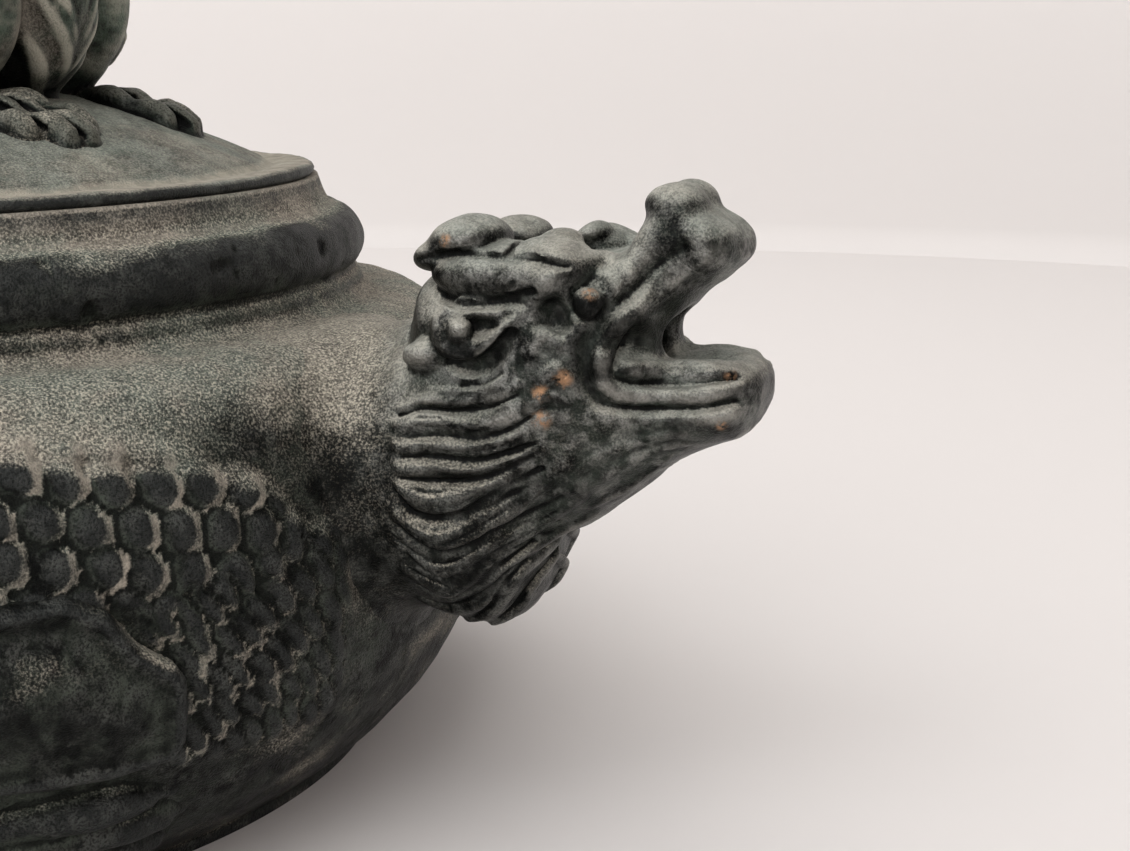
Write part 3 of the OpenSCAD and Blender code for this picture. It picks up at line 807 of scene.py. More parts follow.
@dataclass
class DragonHead:
    """Neck and head with open jaws, sculpted on the side towards the camera and mirrored.

    Attributes:
        neck: Neck and skull, as x, top, bottom and half width.
        skull: Broad top of the skull, likewise.
        snout: Upper jaw, likewise.
        jaw: Lower jaw, likewise.
        crest: Lobes of the crest: middle, half sizes and lean.
        lips: Ridges round the mouth, drawn from the side as x, z and radius.
        lip_grooves: Grooves beside them, likewise.
        mane: Locks that sweep back onto the vessel, likewise.
        creases: Thin dark lines between the locks and below the crest, likewise.
        beard: Strands that hang from the jaw, likewise.
        curls: Small curls on the cheek, likewise.
        ear_rim: The ear's rolled rim, likewise.
        brow: The brow, likewise.
        eye: Middle of the eye from the side.
        bore: The pouring hole behind the jaws: start and end, as x, y, z and radius.
    """

    neck: tuple = (
        (46, 41, 27, 8.5), (52, 43.2, 24.4, 10.2), (57, 45.2, 21.4, 11.6), (62, 47.0, 19.4, 12.2),
        (66.5, 48.6, 19.4, 11.2),
        (68.8, 49.4, 22.2, 10.6), (70.2, 49.9, 26.6, 10.2), (74, 50.6, 28.8, 9.2), (78, 51, 32.2, 8),
        (80, 49, 34.6, 6.8),
    )
    skull: tuple = (
        (59.6, 49.2, 41, 5.4), (62, 50.2, 39, 9), (68, 50.6, 38, 9.9), (74, 51.2, 39, 9.2),
        (77.6, 51.4, 41, 8), (80, 50.4, 43.6, 6.4),
    )
    snout: tuple = (
        (74, 50.6, 44, 7), (77.4, 52.2, 44.2, 6.6), (78.9, 54.6, 44.6, 6), (80, 56.3, 45.2, 5.5),
        (80.8, 57.1, 45.9, 5.2), (81.8, 57.3, 46.8, 5), (82.9, 56.9, 48.2, 4.7), (83.7, 55.7, 49.0, 4.6),
        (84.8, 54.9, 49.8, 4.3), (86.0, 54.0, 50.8, 3.3), (86.7, 52.9, 51.6, 1.6),
    )
    jaw: tuple = (
        (73, 42.6, 30, 7.6), (78, 43.2, 32.4, 7.2), (81, 43.4, 34.6, 6.7), (84.5, 43.7, 36.3, 6.2),
        (86.8, 43.4, 37.2, 5.4), (87.9, 42.9, 38.7, 4.0), (88.5, 42, 40.3, 1.9),
    )
    crest: tuple = (
        ((68.6, -7.0, 50.2), (6.4, 2.9, 2.3), 0), ((62.3, -4.9, 51.6), (2.3, 3.2, 1.35), 14),
        ((64.6, -4.7, 52.8), (3.4, 3.7, 2.0), 10), ((66.2, -3.4, 52.9), (1.6, 2.0, 1.1), 0),
        ((69.0, -5.6, 51.6), (2.0, 3.4, 1.3), -8), ((72.5, -5.4, 51.8), (3.1, 3.4, 1.5), -8),
        ((72.3, -3.5, 52.8), (1.6, 1.9, 1.0), 0), ((72.6, -7.6, 50.0), (2.6, 1.5, 1.2), -22),
    )
    lips: tuple = (
        ((84.6, 51.7, 0.3), (83.4, 51.1, 0.4), (81.9, 49.9, 0.45), (80.1, 48.3, 0.6), (78.5, 46.8, 0.7),
         (77.5, 45.2, 0.75), (77.2, 43.5, 0.75), (77.7, 42.1, 0.7), (79.1, 41.3, 0.65), (81.1, 41.0, 0.6),
         (84.3, 41.2, 0.55), (87.2, 41.9, 0.4)),
        ((75.9, 39.3, 0.4), (77.3, 39.5, 0.5), (79, 39.3, 0.5), (81.6, 39.3, 0.45), (84.8, 39.4, 0.4),
         (86.9, 39.8, 0.3)),
        ((78.6, 44.6, 0.2), (78.5, 43.9, 0.35), (79.2, 43.3, 0.6), (80.8, 42.95, 0.8), (83.4, 43, 0.8),
         (86.4, 42.9, 0.5)),
    )
    lip_grooves: tuple = (
        ((82.9, 52.7, 0.15), (80.8, 51.2, 0.3), (79.3, 49.3, 0.5), (77.8, 47.7, 0.6), (76.5, 45.8, 0.6),
         (76.1, 43.6, 0.6), (76.5, 41.6, 0.6), (78, 40.3, 0.6), (80.7, 40.05, 0.55), (84.6, 40.3, 0.45),
         (87.2, 40.8, 0.3)),
        ((79.2, 46.6, 0.25), (78.1, 45.1, 0.4), (77.9, 43.6, 0.45), (78.3, 42.5, 0.5), (79.9, 42, 0.5),
         (83.6, 42.1, 0.45), (86.9, 42.4, 0.3)),
    )
    mane: tuple = (
        ((63.2, 41.0, 0.4), (66.1, 41.2, 0.55), (68.7, 41.8, 0.55), (70.4, 43.0, 0.4)),
        ((61.0, 39.5, 0.4), (63.3, 40.3, 0.6), (65.7, 40.3, 0.6), (68.8, 41.1, 0.6), (70.9, 42.2, 0.4)),
        ((60.9, 38.2, 0.6), (62.5, 38.8, 0.75), (64.6, 38.7, 0.75), (67.1, 38.4, 0.75),
         (69.6, 39.2, 0.65), (71.6, 40.3, 0.4)),
        ((61.0, 36.7, 0.7), (64.0, 37.0, 0.8), (67.2, 36.9, 0.8), (69.9, 37.5, 0.75), (72.2, 38.7, 0.4)),
        ((61.3, 35.0, 0.75), (64.3, 35.2, 0.9), (66.8, 35.0, 0.9), (69.1, 35.5, 0.75), (71.3, 36.3, 0.6),
         (73.4, 37.6, 0.4)),
        ((61.5, 33.4, 0.8), (63.8, 32.5, 1.3), (65.9, 32.7, 1.45), (68.0, 33.6, 1.15), (69.8, 34.5, 0.8),
         (72.4, 36, 0.4)),
        ((60.2, 32.0, 0.5), (62.3, 30.0, 1.0), (64.5, 29.3, 1.3), (66.8, 30.2, 1.2), (68.9, 31.6, 1.05),
         (70.8, 32.8, 0.8), (73.3, 34.4, 0.4)),
        ((60.2, 28.9, 0.4), (62.3, 27.2, 0.65), (64.1, 26.4, 0.8), (66.1, 27.2, 0.8), (68.2, 28.5, 0.75),
         (70.2, 29.6, 0.7),
         (72.7, 31.3, 0.6), (75.1, 32.9, 0.4)),
        ((60.6, 26.3, 0.4), (62.4, 25.0, 0.6), (63.9, 24.2, 0.75), (66.3, 25.3, 0.75), (68.5, 27.0, 0.7),
         (71.7, 28.9, 0.6), (74.8, 30.5, 0.4)),
        ((60.6, 22.7, 0.4), (63.2, 22.0, 0.7), (65.8, 23.0, 0.75), (68.1, 24.9, 0.7), (70.6, 27.4, 0.5)),
        ((63.6, 20.3, 0.4), (66.4, 21.9, 0.6), (68.3, 24.4, 0.6), (69.6, 26.9, 0.4)),
        ((65.3, 19.7, 0.35), (67.6, 21.3, 0.55), (69.0, 23.7, 0.5), (69.9, 25.8, 0.35)),
    )
    creases: tuple = (
        ((66.1, 41.7, 0.2), (68.0, 42.1, 0.35), (69.4, 43.0, 0.2)),
        ((60.9, 39.1, 0.2), (62.9, 39.8, 0.28), (65.5, 39.7, 0.3), (68.7, 40.2, 0.28), (70.9, 41.3, 0.2)),
        ((61.2, 37.5, 0.25), (63.5, 37.8, 0.35), (65.3, 37.8, 0.35), (67.5, 37.7, 0.35),
         (70.0, 38.4, 0.35), (71.8, 39.5, 0.2)),
        ((61.6, 35.9, 0.25), (64.2, 36.1, 0.35), (67.0, 35.9, 0.3), (69.1, 36.2, 0.3), (72.2, 37.4, 0.2)),
        ((61.5, 34.2, 0.25), (64.2, 34.1, 0.35), (66.7, 34.2, 0.35), (69.1, 34.8, 0.35), (71.9, 36.2, 0.2)),
        ((60.9, 33.2, 0.25), (62.1, 31.4, 0.45), (64.3, 30.9, 0.55), (66.9, 31.6, 0.55),
         (68.5, 32.8, 0.45), (70.2, 33.8, 0.35), (72.4, 35.2, 0.2)),
        ((61.0, 30.1, 0.25), (62.7, 28.6, 0.4), (64.6, 27.9, 0.45), (66.8, 28.6, 0.45),
         (68.9, 29.9, 0.35), (71.3, 31.2, 0.3), (73.8, 32.7, 0.2)),
        ((61.2, 27.5, 0.25), (62.5, 26.1, 0.35), (64.3, 25.4, 0.35), (66.3, 26.3, 0.35),
         (68.3, 27.7, 0.35), (72.4, 30.0, 0.2)),
        ((61.2, 24.4, 0.2), (63.8, 23.2, 0.35), (66.0, 24.2, 0.5), (67.9, 25.8, 0.5), (70.2, 28.0, 0.25)),
        ((64.6, 20.6, 0.2), (67.4, 23.1, 0.35), (69.7, 26.4, 0.2)), ((66.4, 20.4, 0.2), (68.3, 22.4, 0.3),
         (69.9, 25.2, 0.2)),
        ((61.0, 51.3, 0.2), (63.4, 51.8, 0.3), (66.4, 52.1, 0.35), (69.4, 52.0, 0.35), (71.6, 51.9, 0.3),
         (74.6, 51.3, 0.2)),
        ((69.6, 53.2, 0.2), (69.4, 52.6, 0.3), (69.7, 52.0, 0.25)),
        ((63.6, 48.4, 0.3), (66.8, 48.3, 0.5), (69.6, 48.6, 0.5), (72, 49.4, 0.35)),
    )
    beard: tuple = (
        ((73.2, 35.6, 0.3), (74.6, 37.1, 0.5), (75.6, 38.0, 0.55), (77.0, 38.6, 0.5), (78.8, 38.9, 0.3)),
        ((74.6, 34.4, 0.3), (76.1, 35.9, 0.5), (77.4, 36.7, 0.5), (80.3, 37.7, 0.4), (83.5, 38.3, 0.25)),
        ((75.2, 33, 0.3), (76.9, 34.4, 0.5), (78.1, 35.4, 0.5), (80.3, 36.5, 0.45), (83.1, 37.3, 0.25)),
        ((75.0, 31.4, 0.3), (76.9, 32.5, 0.5), (78.1, 33.2, 0.5), (79.9, 34.6, 0.45), (81.8, 36.0, 0.25)),
        ((72.2, 34.4, 0.3), (73.8, 35.4, 0.6), (75.3, 36.6, 0.4)),
        ((73.0, 32.9, 0.35), (74.7, 33.6, 0.65), (76.3, 34.8, 0.4)),
    )
    curls: tuple = (
        ((71.6, 44.6, 0.7), (72.8, 45.8, 0.8), (74.0, 45.2, 0.6)), ((72.6, 42.4, 0.7), (73.8, 43.3, 0.8),
         (74.8, 42.6, 0.5)),
        ((71.6, 40.3, 0.6), (73.0, 41.2, 0.75), (74.6, 40.6, 0.5)), ((72.0, 39.0, 0.6),
         (73.6, 39.8, 0.65), (74.9, 39.4, 0.4)),
    )
    ear_rim: tuple = (
        ((64.0, 46.9, 0.45), (65.2, 48.0, 0.6), (67.2, 48.1, 0.65), (69.4, 47.9, 0.5), (71.2, 47.8, 0.3)),
        ((64.0, 46.9, 0.45), (64.1, 45.6, 0.5), (65.2, 44.5, 0.6), (66.8, 44.4, 0.65), (68.6, 45.3, 0.6),
         (70.8, 47.5, 0.35)),
    )
    brow: tuple = (
        (71.8, 48.8, 0.5), (73.2, 50.3, 0.9), (75.6, 51.3, 1.0), (78.0, 50.8, 0.8), (79.4, 49.8, 0.4),
    )
    eye: tuple = (76.2, 48.5)
    bore: tuple = ((84, 0, 45.7, 1.5), (70, 0, 41.4, 1.5), (58, 0, 37.7, 1.5))

    def ear(self, clay: Clay) -> None:
        """A leaf-shaped ear with a rolled rim, a hollow and a pearl."""
        y = float(clay.side(67.0, 46.1))
        clay.ball((66.6, y + 0.6, 46.1), (3.5, 1.7, 2.2), blend=0.9, lean=10)
        clay.ball((67.6, y - 1.2, 46.6), (2.2, 1.3, 1.0), blend=0.4, carve=True, lean=12)
        clay.draw(self.ear_rim, sink=0.2, blend=0.4)
        clay.ball((66.2, y - 0.7, 46.2), (1.05, 0.9, 1.0), blend=0.25)
        below = ((64.9, 43.6, 0.4), (66.4, 43.2, 0.75), (68, 43.4, 0.8), (69.2, 44.6, 0.6), (70.2, 46, 0.4))
        clay.draw([below], sink=0.1, blend=0.6, carve=True)

    def face(self, clay: Clay) -> None:
        """Eye, brow, nostrils and the ridges round the mouth."""
        x, z = self.eye
        y = float(clay.side(x, z))
        clay.ball((x, y - 0.9, z), (2.1, 1.5, 2.0), blend=0.7, carve=True)
        turns = np.linspace(0, 2 * math.pi, 13)
        ring = np.column_stack([x + 2.1 * np.cos(turns), z + 2.0 * np.sin(turns), np.full(13, 0.5)])
        clay.draw([ring], sink=0.4, blend=0.5)
        clay.ball((x, y - 0.1, z), (1.32, 1.3, 1.32), blend=0.12)
        clay.ball((73.5, y - 0.7, z - 1.2), (1.2, 1.3, 1.4), blend=1.0, carve=True)
        clay.draw([self.brow], sink=0.5, blend=0.7)
        clay.ball((84.2, -2.9, 52.7), (2.3, 2.3, 1.9), blend=1.0, lean=-24)
        clay.ball((81.3, -1.7, 55.7), (2.5, 2.3, 1.7), blend=0.9)
        clay.draw(self.lip_grooves, sink=0.0, blend=0.7, carve=True)
        clay.draw(self.lips, sink=0.5, blend=0.8, swell=0.72)

    def hair(self, clay: Clay) -> None:
        """Low folds of hair with thin creases between them."""
        clay.draw(self.mane, sink=0.81, blend=0.15, swell=1.35)
        for number, path in enumerate(self.mane[2:10]):
            for share, part in ((0.55, slice(3 + number % 3)), (-0.35, slice(1, None))):
                thin = [(x, z + share * radius, 0.17) for x, z, radius in path[part]]
                for line in clay.drape([thin], sink=-0.02):
                    line[:, 3] *= np.sin(np.linspace(0.15, math.pi - 0.1, len(line)))
                    clay.strand(line, blend=0.25, carve=True)
        clay.draw([*self.beard, *self.curls], sink=0.45, blend=0.35)
        clay.draw(self.creases, sink=-0.15, blend=0.3, carve=True)

    def sculpt(self, form: TurnedForm) -> Skin:
        """The finished head.

        Args:
            form: The vessel's outer form, which the neck flares out onto.

        Returns:
            The skin.
        """
        clay = Clay((46.5, -19.0, 16.5), (90.5, 0.0, 59.5), 0.22)
        clay.loft(self.neck, 2.1)
        seat_on(clay, form, 5.0, 4.5)
        clay.loft(self.skull, 2.6, blend=1.5)
        clay.loft(self.snout, 2.3, blend=1.2)
        clay.loft(self.jaw, 2.5, blend=1.4)
        clay.ball((82.6, -7.4, 45.0), (5.2, 3.4, 1.9), blend=1.0, carve=True)
        clay.strand([(81.6, 0, 45.2, 2.3), (84.6, 0, 45.4, 2.6), (88, 0, 46.6, 2.6)], blend=0.6, carve=True)
        clay.balls(self.crest, blend=0.5)
        self.ear(clay)
        self.face(clay)
        clay.ball((62.6, float(clay.side(62.6, 44.0)), 44.0), (2.0, 1.3, 1.2), blend=0.6, lean=10)
        self.hair(clay)
        clay.strand(self.bore, blend=0.3, carve=True)
        skin = clay.skin(mirrored=True)
        x, y, z = skin.points.T
        z -= 0.9 * soft_step(y, -1.0, 3.0) * soft_step(z, 51.0, 53.5) * soft_step(x, 73, 70)
        skin.roughen(5.0, 0.14, 31)
        skin.roughen(1.1, 0.035, 33, 2)
        skin.age(9, 60, 0.13)
        self.weather(skin, form)
        return skin

    def weather(self, skin: Skin, form: TurnedForm) -> None:
        """Paints the neck like the vessel, the lower head darker as painted shade, and painted shade into the
        eye, under the ear and into the corner of the mouth.
        """
        x, _, z = skin.points.T
        gap = form.distance(*skin.points.T)
        # Painted shade: the lower head, where it faces down, takes the vessel's darker plain patina.
        low = soft_step(z, 44, 32) * soft_step(x, 76, 66)
        skin.paint["plain"] = np.maximum(soft_step(gap, 8.0, 2.0), 0.8 * low)
        skin.paint["dust"] = 0.1 * soft_step(gap, 7.0, 1.0) * soft_step(skin.normals()[:, 2], 0.0, 0.8)
        # Painted shade: the eye socket, the groove under the ear and the corner of the mouth count as deeper
        # hollows, which darkens them.
        for spot_x, spot_z, radius, depth in (
            (*self.eye, 1.4, 0.45), (66.2, 44.4, 1.2, 0.3), (77.8, 45.6, 3.0, 0.25),
        ):
            spot = depth * soft_step(np.hypot(x - spot_x, z - spot_z), radius + 0.4, radius - 0.2)
            skin.paint["hollow"] = np.maximum(skin.paint["hollow"], spot)


# ---------------------------------------------------------------- legs and tail


@dataclass
class Leg:
    """A crouching leg in relief, worked at angle 0 and turned into place.

    Attributes:
        vessel: The vessel that it lies on.
        haunch: Outline of the flat haunch: distance towards the head, and height.
        toes: Each toe's rear and front, as distance and height, and its radius.
    """

    vessel: VesselBody
    haunch: tuple = (
        (0.4, 30.1), (4.5, 30.2), (7.4, 28.4), (9.6, 25.2), (12.2, 23.2), (13.0, 21.8), (13.0, 16.4),
        (12.0, 14.7), (7.3, 14.8), (0, 15.2), (-8, 15.0), (-13.2, 16.6), (-15, 20.4), (-13.6, 24.6),
        (-9, 28.2), (-4, 29.8),
    )
    toes: tuple = (
        (-1, 11.7, 10.6, 11.4, 1.35), (-1, 9.3, 12.4, 8.6, 1.5), (-1, 6.8, 12.2, 5.9, 1.5),
        (-1, 4.6, 10.4, 3.6, 1.3),
    )

    def limb(self, clay: Clay, blend: float, *rows: tuple[float, float, float, float]) -> None:
        """A strand over the belly, by distance towards the head, height, distance out and radius."""
        clay.strand([[*self.vessel.at(along / self.vessel.belly_r, z, out), radius]
                     for along, z, out, radius in rows], blend)

    def edge(self, x: np.ndarray, y: np.ndarray, z: np.ndarray) -> tuple[np.ndarray, np.ndarray]:
        """Distance towards the head and to the haunch's outline, for places at angle 0."""
        along = np.arctan2(y, x) * self.vessel.belly_r + 0 * z
        return along, polygon_distance(along, z + 0 * along, self.haunch)

    def sculpt(self, form: TurnedForm) -> Skin:
        """The leg's skin at angle 0, against the vessel's outer form."""
        clay = Clay((44.0, -18.5, 0.6), (63.5, 18.0, 33.0), 0.3)
        flat = self.edge(*clay.grids())[1]
        relief = 1.7 + 1.2 * soft_step(-flat, 1.2, 8) + 0.5 * np.exp(-(((flat + 0.9) / 0.7) ** 2))
        out = form.distance(*clay.grids()) - relief
        h = np.clip(0.5 + 0.5 * (flat - out) / 1.1, 0, 1)
        haunch = out * (1 - h) + flat * h + 1.1 * h * (1 - h)
        clay.values = np.minimum(clay.values, haunch).astype(np.float32)
        self.limb(clay, 1.2, (-12.5, 17.0, -0.4, 2.6), (-9.5, 11.2, -0.6, 3.4), (0.5, 8.6, -0.6, 4.2))
        for rear, rear_z, tip, tip_z, radius in self.toes:
            middle, middle_z = (rear + 2 * tip) / 3, (rear_z + 2 * tip_z) / 3 + 0.2
            self.limb(clay, 0.35, (rear, rear_z, 0.5, radius), (middle, middle_z, 0.7, radius * 1.05),
                      (tip, tip_z, 0.0, radius * 0.85))
            self.limb(clay, 0.2, (tip + 0.6, tip_z, 0.3, 0.6), (tip + 2.6, tip_z - 0.5, -0.2, 0.25))
        seat_on(clay, form, 0.9)
        return clay.skin()

    def placed(self, worked: Skin, turn: float, side: int, seed: int) -> Skin:
        """A leg in its place.

        Args:
            worked: The leg at angle 0.
            turn: Angle from the head in degrees.
            side: -1 on the dragon's right, 1 on its left.
            seed: Which small irregularities.

        Returns:
            The placed skin.
        """
        along, edge = self.edge(*worked.points.T)
        ridge = np.exp(-(((edge + 0.5) / 0.8) ** 2)) * soft_step(along, 8, 12)
        points = turned(worked.points * (1, -side, 1), side * turn)
        skin = Skin(points, worked.quads[:, ::-side], worked.triangles[:, ::-side])
        skin.roughen(7.0, 0.22, seed)
        skin.age(9, 50, 0.13)
        skin.paint["dust"] = 0.9 * ridge + 0.7 * layered_noise(skin.points, 6.0, 4, seed + 40) - 0.6
        return skin


@dataclass
class Tail:
    """The tail, which climbs the back of the vessel and curls onto the left of its shoulder.

    Attributes:
        vessel: The vessel that it lies on.
        root_r: Radius at the root.
        tip_r: Radius at the tip.
        stops: Points of its path.
    """

    vessel: VesselBody
    root_r: float = 5.0
    tip_r: float = 1.3
    stops: int = 12

    def row(self, t: float, radius: float, out: float, sway: float = 0.0) -> tuple[float, ...]:
        """x, y, z and radius at share t of its length, some way out and up, as in the CAD."""
        angle = math.radians(180 - 46 * t * t)
        return *self.vessel.at(angle, 12 + 26 * math.sin(math.pi / 2 * t) + sway, out), radius

    def sculpt(self, form: TurnedForm) -> Skin:
        """The tail's skin, against the vessel's outer form."""
        clay = Clay((-64.0, -7.0, 3.0), (-26.0, 50.0, 46.5), 0.32)
        shrink = self.tip_r - self.root_r
        body = [(t, self.root_r + shrink * t) for t in np.linspace(0, 1, self.stops)]
        clay.strand([self.row(t, radius, radius * 0.5) for t, radius in body], blend=0.6)
        for t in np.linspace(0.03, 0.9, 15):
            radius = self.root_r + shrink * t
            clay.ball(self.row(t, 0, radius * 1.45)[:3], (0.9, 0.9, 0.35 + 0.25 * radius), blend=0.5)
        for sway in (-2.6, -1.2, 0.2, 1.6):
            clay.strand([self.row(0.9, 0.8, 0.7, 0.15 * sway), self.row(1.0, 1.05, 0.9, 0.8 * sway),
                         self.row(1.12, 0.35, 0.5, sway + 0.6)], blend=0.25)
        seat_on(clay, form, 0.9)
        skin = clay.skin()
        skin.roughen(6.0, 0.15, 43)
        skin.age(9, 50, 0.13)
        return skin


# ---------------------------------------------------------------- the lid and its beast


@dataclass
class Lid:
    """The thin domed lid.

    Attributes:
        seat_z: Height of its underside.
        lip_r: Outer radius of its lip.
        lip_t: Thickness of its lip.
        dome_r: Radius of the dome at the lip.
        rise: Rise of the dome.
        wall: Thickness of the dome.
        hollow_r: Radius of the hollow below.
        hole_r: Radius of the rivet's hole.
    """

    seat_z: float = 55.9
    lip_r: float = 41.1
    lip_t: float = 1.2
    dome_r: float = 36.5
    rise: float = 9.0
    wall: float = 2.4
    hollow_r: float = 33.5
    hole_r: float = 2.5

    def sphere(self) -> tuple[float, float]:
        """Radius and middle height of the dome's sphere."""
        radius = (self.dome_r**2 + self.rise**2) / (2 * self.rise)
        return radius, self.seat_z + self.lip_t + self.rise - radius

    def dome(self, r: np.ndarray, inset: float = 0.0) -> np.ndarray:
        """Rows of radius and height of the dome at some radii, moved inwards by inset."""
        radius, middle = self.sphere()
        return np.column_stack([r, middle + np.sqrt((radius - inset) ** 2 - r**2)])

    def build(self) -> Skin:
        """The lid as one closed skin."""
        low, top, lip = self.seat_z, self.seat_z + self.lip_t, self.lip_r
        outside = np.vstack([
            [[lip - 0.5, low], [lip, low + 0.35], [lip, top - 0.35], [lip - 0.5, top]],
            [[self.dome_r + 0.9, top - 0.12]],
            self.dome(np.linspace(self.dome_r, self.hole_r, 60)),
        ])
        under = self.dome(np.linspace(self.hole_r, self.hollow_r, 40), self.wall)
        ring = Ring(outside, np.vstack([under, [[self.hollow_r, low]]]), 0.45, 620)
        wave, ripple = ring.noise(13.0, 2, 61), ring.noise(2.8, 3, 67)
        groove = 0.25 * np.exp(-(((ring.outside[:, :1] - self.dome_r - 0.3) / 0.6) ** 2)) * (1 + 0.6 * wave)
        free = soft_step(ring.outside[:, 1:], low + 0.2, low + 1.0)
        skin = ring.skin(free * (0.13 * wave + 0.07 * ripple - groove))
        x, y, z = skin.points.T
        r = np.hypot(x, y)
        ledge = soft_step(r, self.dome_r - 0.8, self.dome_r + 0.4) * soft_step(r, lip - 0.2, lip - 1.4)
        skin.paint["dust"] = (1.3 * ledge - 0.3) * (z > low + 0.8)
        return skin


@dataclass
class Beast:
    """A crouching guardian beast, sculpted on its right side and mirrored, then turned on the lid.

    Attributes:
        lid: The lid that it sits on.
        crown_z: Height of the lid's crown; the beast's own heights are measured from it.
        turn: Its turn from the dragon's line of sight, in degrees.
    """

    lid: Lid
    crown_z: float = 66.1
    turn: float = 6.0

    def strand(self, clay: Clay, rows: Path, blend: float, carve: bool = False) -> None:
        """A strand whose heights are measured from the crown."""
        clay.strand([(x, y, self.crown_z + up, radius) for x, y, up, radius in rows], blend, carve)

    def balls(self, clay: Clay, rows: Sequence[tuple], blend: float, carve: bool = False) -> None:
        """Balls of x, y, height above the crown, three half sizes and a lean."""
        for x, y, up, *radii, lean in rows:
            clay.ball((x, y, self.crown_z + up), tuple(radii), blend, carve, lean)

    def paw(self, clay: Clay, heel: float, middle: float, toes: tuple[float, ...]) -> None:
        """A flat paw on the dome.

        Args:
            clay: The clay, changed in place.
            heel: Where its heel lies along the beast.
            middle: How far to the side its middle lies.
            toes: Length of each toe, from the inner one.
        """

        def on_lid(blend: float, carve: bool, *rows: tuple[float, float, float, float]) -> None:
            """A strand of x, y, height above the dome and radius."""
            clay.strand([(x, y, self.lid.dome(np.array(math.hypot(x, y)))[0, 1] + up, radius)
                         for x, y, up, radius in rows], blend, carve)

        reach = max(toes)
        on_lid(1.0, False, (heel, middle, -1.3, 1.6), (heel + 0.35 * reach, middle, -1.1, 2.2),
               (heel + 0.6 * reach, middle, -1.4, 2.0))
        for number, length in enumerate(toes):
            side = middle + 1.95 * ((len(toes) - 1) / 2 - number)
            on_lid(0.1, False, (heel + 0.15 * length, middle + 0.7 * (side - middle), 0.2, 0.85),
                   (heel + 0.42 * length, side, 1.0, 1.15), (heel + 0.6 * length, side, 0.5, 0.9),
                   (heel + 0.78 * length, side, 0.9, 1.2), (heel + length - 1.2, side, 0.4, 1.15))
            if number:
                gap = side + 0.98
                on_lid(0.2, True, (heel + 0.35 * length, middle + 0.85 * (gap - middle), 1.35, 0.3),
                       (heel + 0.65 * length, gap, 1.25, 0.5), (heel + length, gap, 0.7, 0.5))

    def body(self, clay: Clay) -> None:
        """Trunk, haunches, forelegs, paws and the locks of the chest."""
        self.balls(clay, (
            (8.5, 0, 11, 8.6, 9.6, 10.5, 20), (-9, 0, 8, 10, 9.6, 9, -8), (0, 0, 9, 12, 9, 9, 0),
            (0, -4, 2, 15, 8.5, 5, 0), (10, 0, 2, 6.5, 8, 8, 0), (-10.5, -7.4, 6.5, 7.2, 6.0, 7.4, 12),
            (14.6, -5.2, 10.8, 5.2, 4.6, 6.4, 8), (16.8, 0, 8, 6.0, 6.2, 9.5, 0),
        ), 2.2)
        self.strand(clay, ((12, -8.2, 13, 4.4), (16.3, -9, 9, 4.6), (17.0, -9, 5, 4.1), (14.9, -9, 1, 3.2),
                           (13.0, -9, -2, 2.4)), 1.0)
        self.strand(clay, ((-7, -10.6, 4, 3.4), (-4, -12, 0.4, 2.8)), 0.9)
        self.paw(clay, 15.6, -10.1, (12.0, 13.2, 12.4, 9.8))
        self.paw(clay, -4.5, -11.8, (9.6, 10.8, 10.0, 7.6))
        for number in range(4):
            lock = []
            for side, up, radius in (
                (-5.4, 17.5, 0.3), (-4.6, 13.5, 0.6), (-2.8, 10.5, 0.75), (-0.9, 7.4, 0.5), (0, 5.4, 0.15),
            ):
                up -= 3.1 * number
                side -= 0.3 * math.sin(2.4 * number)
                front = math.sqrt(max(0.04, 1 - (side / 6.2) ** 2 - ((up - 8) / 9.5) ** 2))
                lock.append((16.4 + 6.0 * front, side, up, radius))
            self.strand(clay, lock, 0.7)

    def head(self, clay: Clay) -> None:
        """A broad generic lion's head with open nostrils, brows and small ears."""
        self.balls(clay, (
            (11.5, 0, 22, 8.4, 8.6, 8.2, 0), (16.6, 0, 19, 5.4, 6.2, 4.6, 0),
            (19.6, 0, 20.4, 3.4, 3.8, 2.6, -8), (17.6, 0, 15.8, 4.2, 4.6, 2.0, 0),
            (17.0, -3.6, 24.6, 2.6, 2.6, 1.5, -10), (5.0, -5.0, 16.5, 4.4, 4.2, 7.0, 0),
        ), 1.3)
        self.strand(clay, ((23, 0, 17.6, 0.5), (20, -4.6, 17.4, 0.8), (15.6, -6.4, 18.2, 0.6)), 0.4, True)
        nostril, socket = (22.6, -1.5, 20.4, 1.0, 0.8, 0.7, 0), (17.8, -4.6, 22.6, 1.8, 1.4, 1.5, 0)
        self.balls(clay, (nostril, socket), 0.4, True)
        self.balls(clay, ((17.4, -4.4, 22.5, 1.5, 1.4, 1.3, 0),), 0.15)
        self.strand(clay, ((10.6, -6.8, 27.6, 1.6), (8.8, -7.8, 29.6, 1.5), (7.6, -8.2, 31, 0.7)), 0.6)
        self.balls(clay, ((10.0, -8.6, 28.6, 1.0, 1.1, 1.5, 20),), 0.4, True)

    def mane(self, clay: Clay) -> None:
        """Curls and locks of the mane, chest and flanks, and the flame-shaped tail."""

        def draped(strokes: Sequence[Path], sink: float) -> None:
            """Strokes of x, height above the crown and radius."""
            raised = [[(x, self.crown_z + up, radius) for x, up, radius in stroke] for stroke in strokes]
            clay.draw(raised, sink, 0.25)

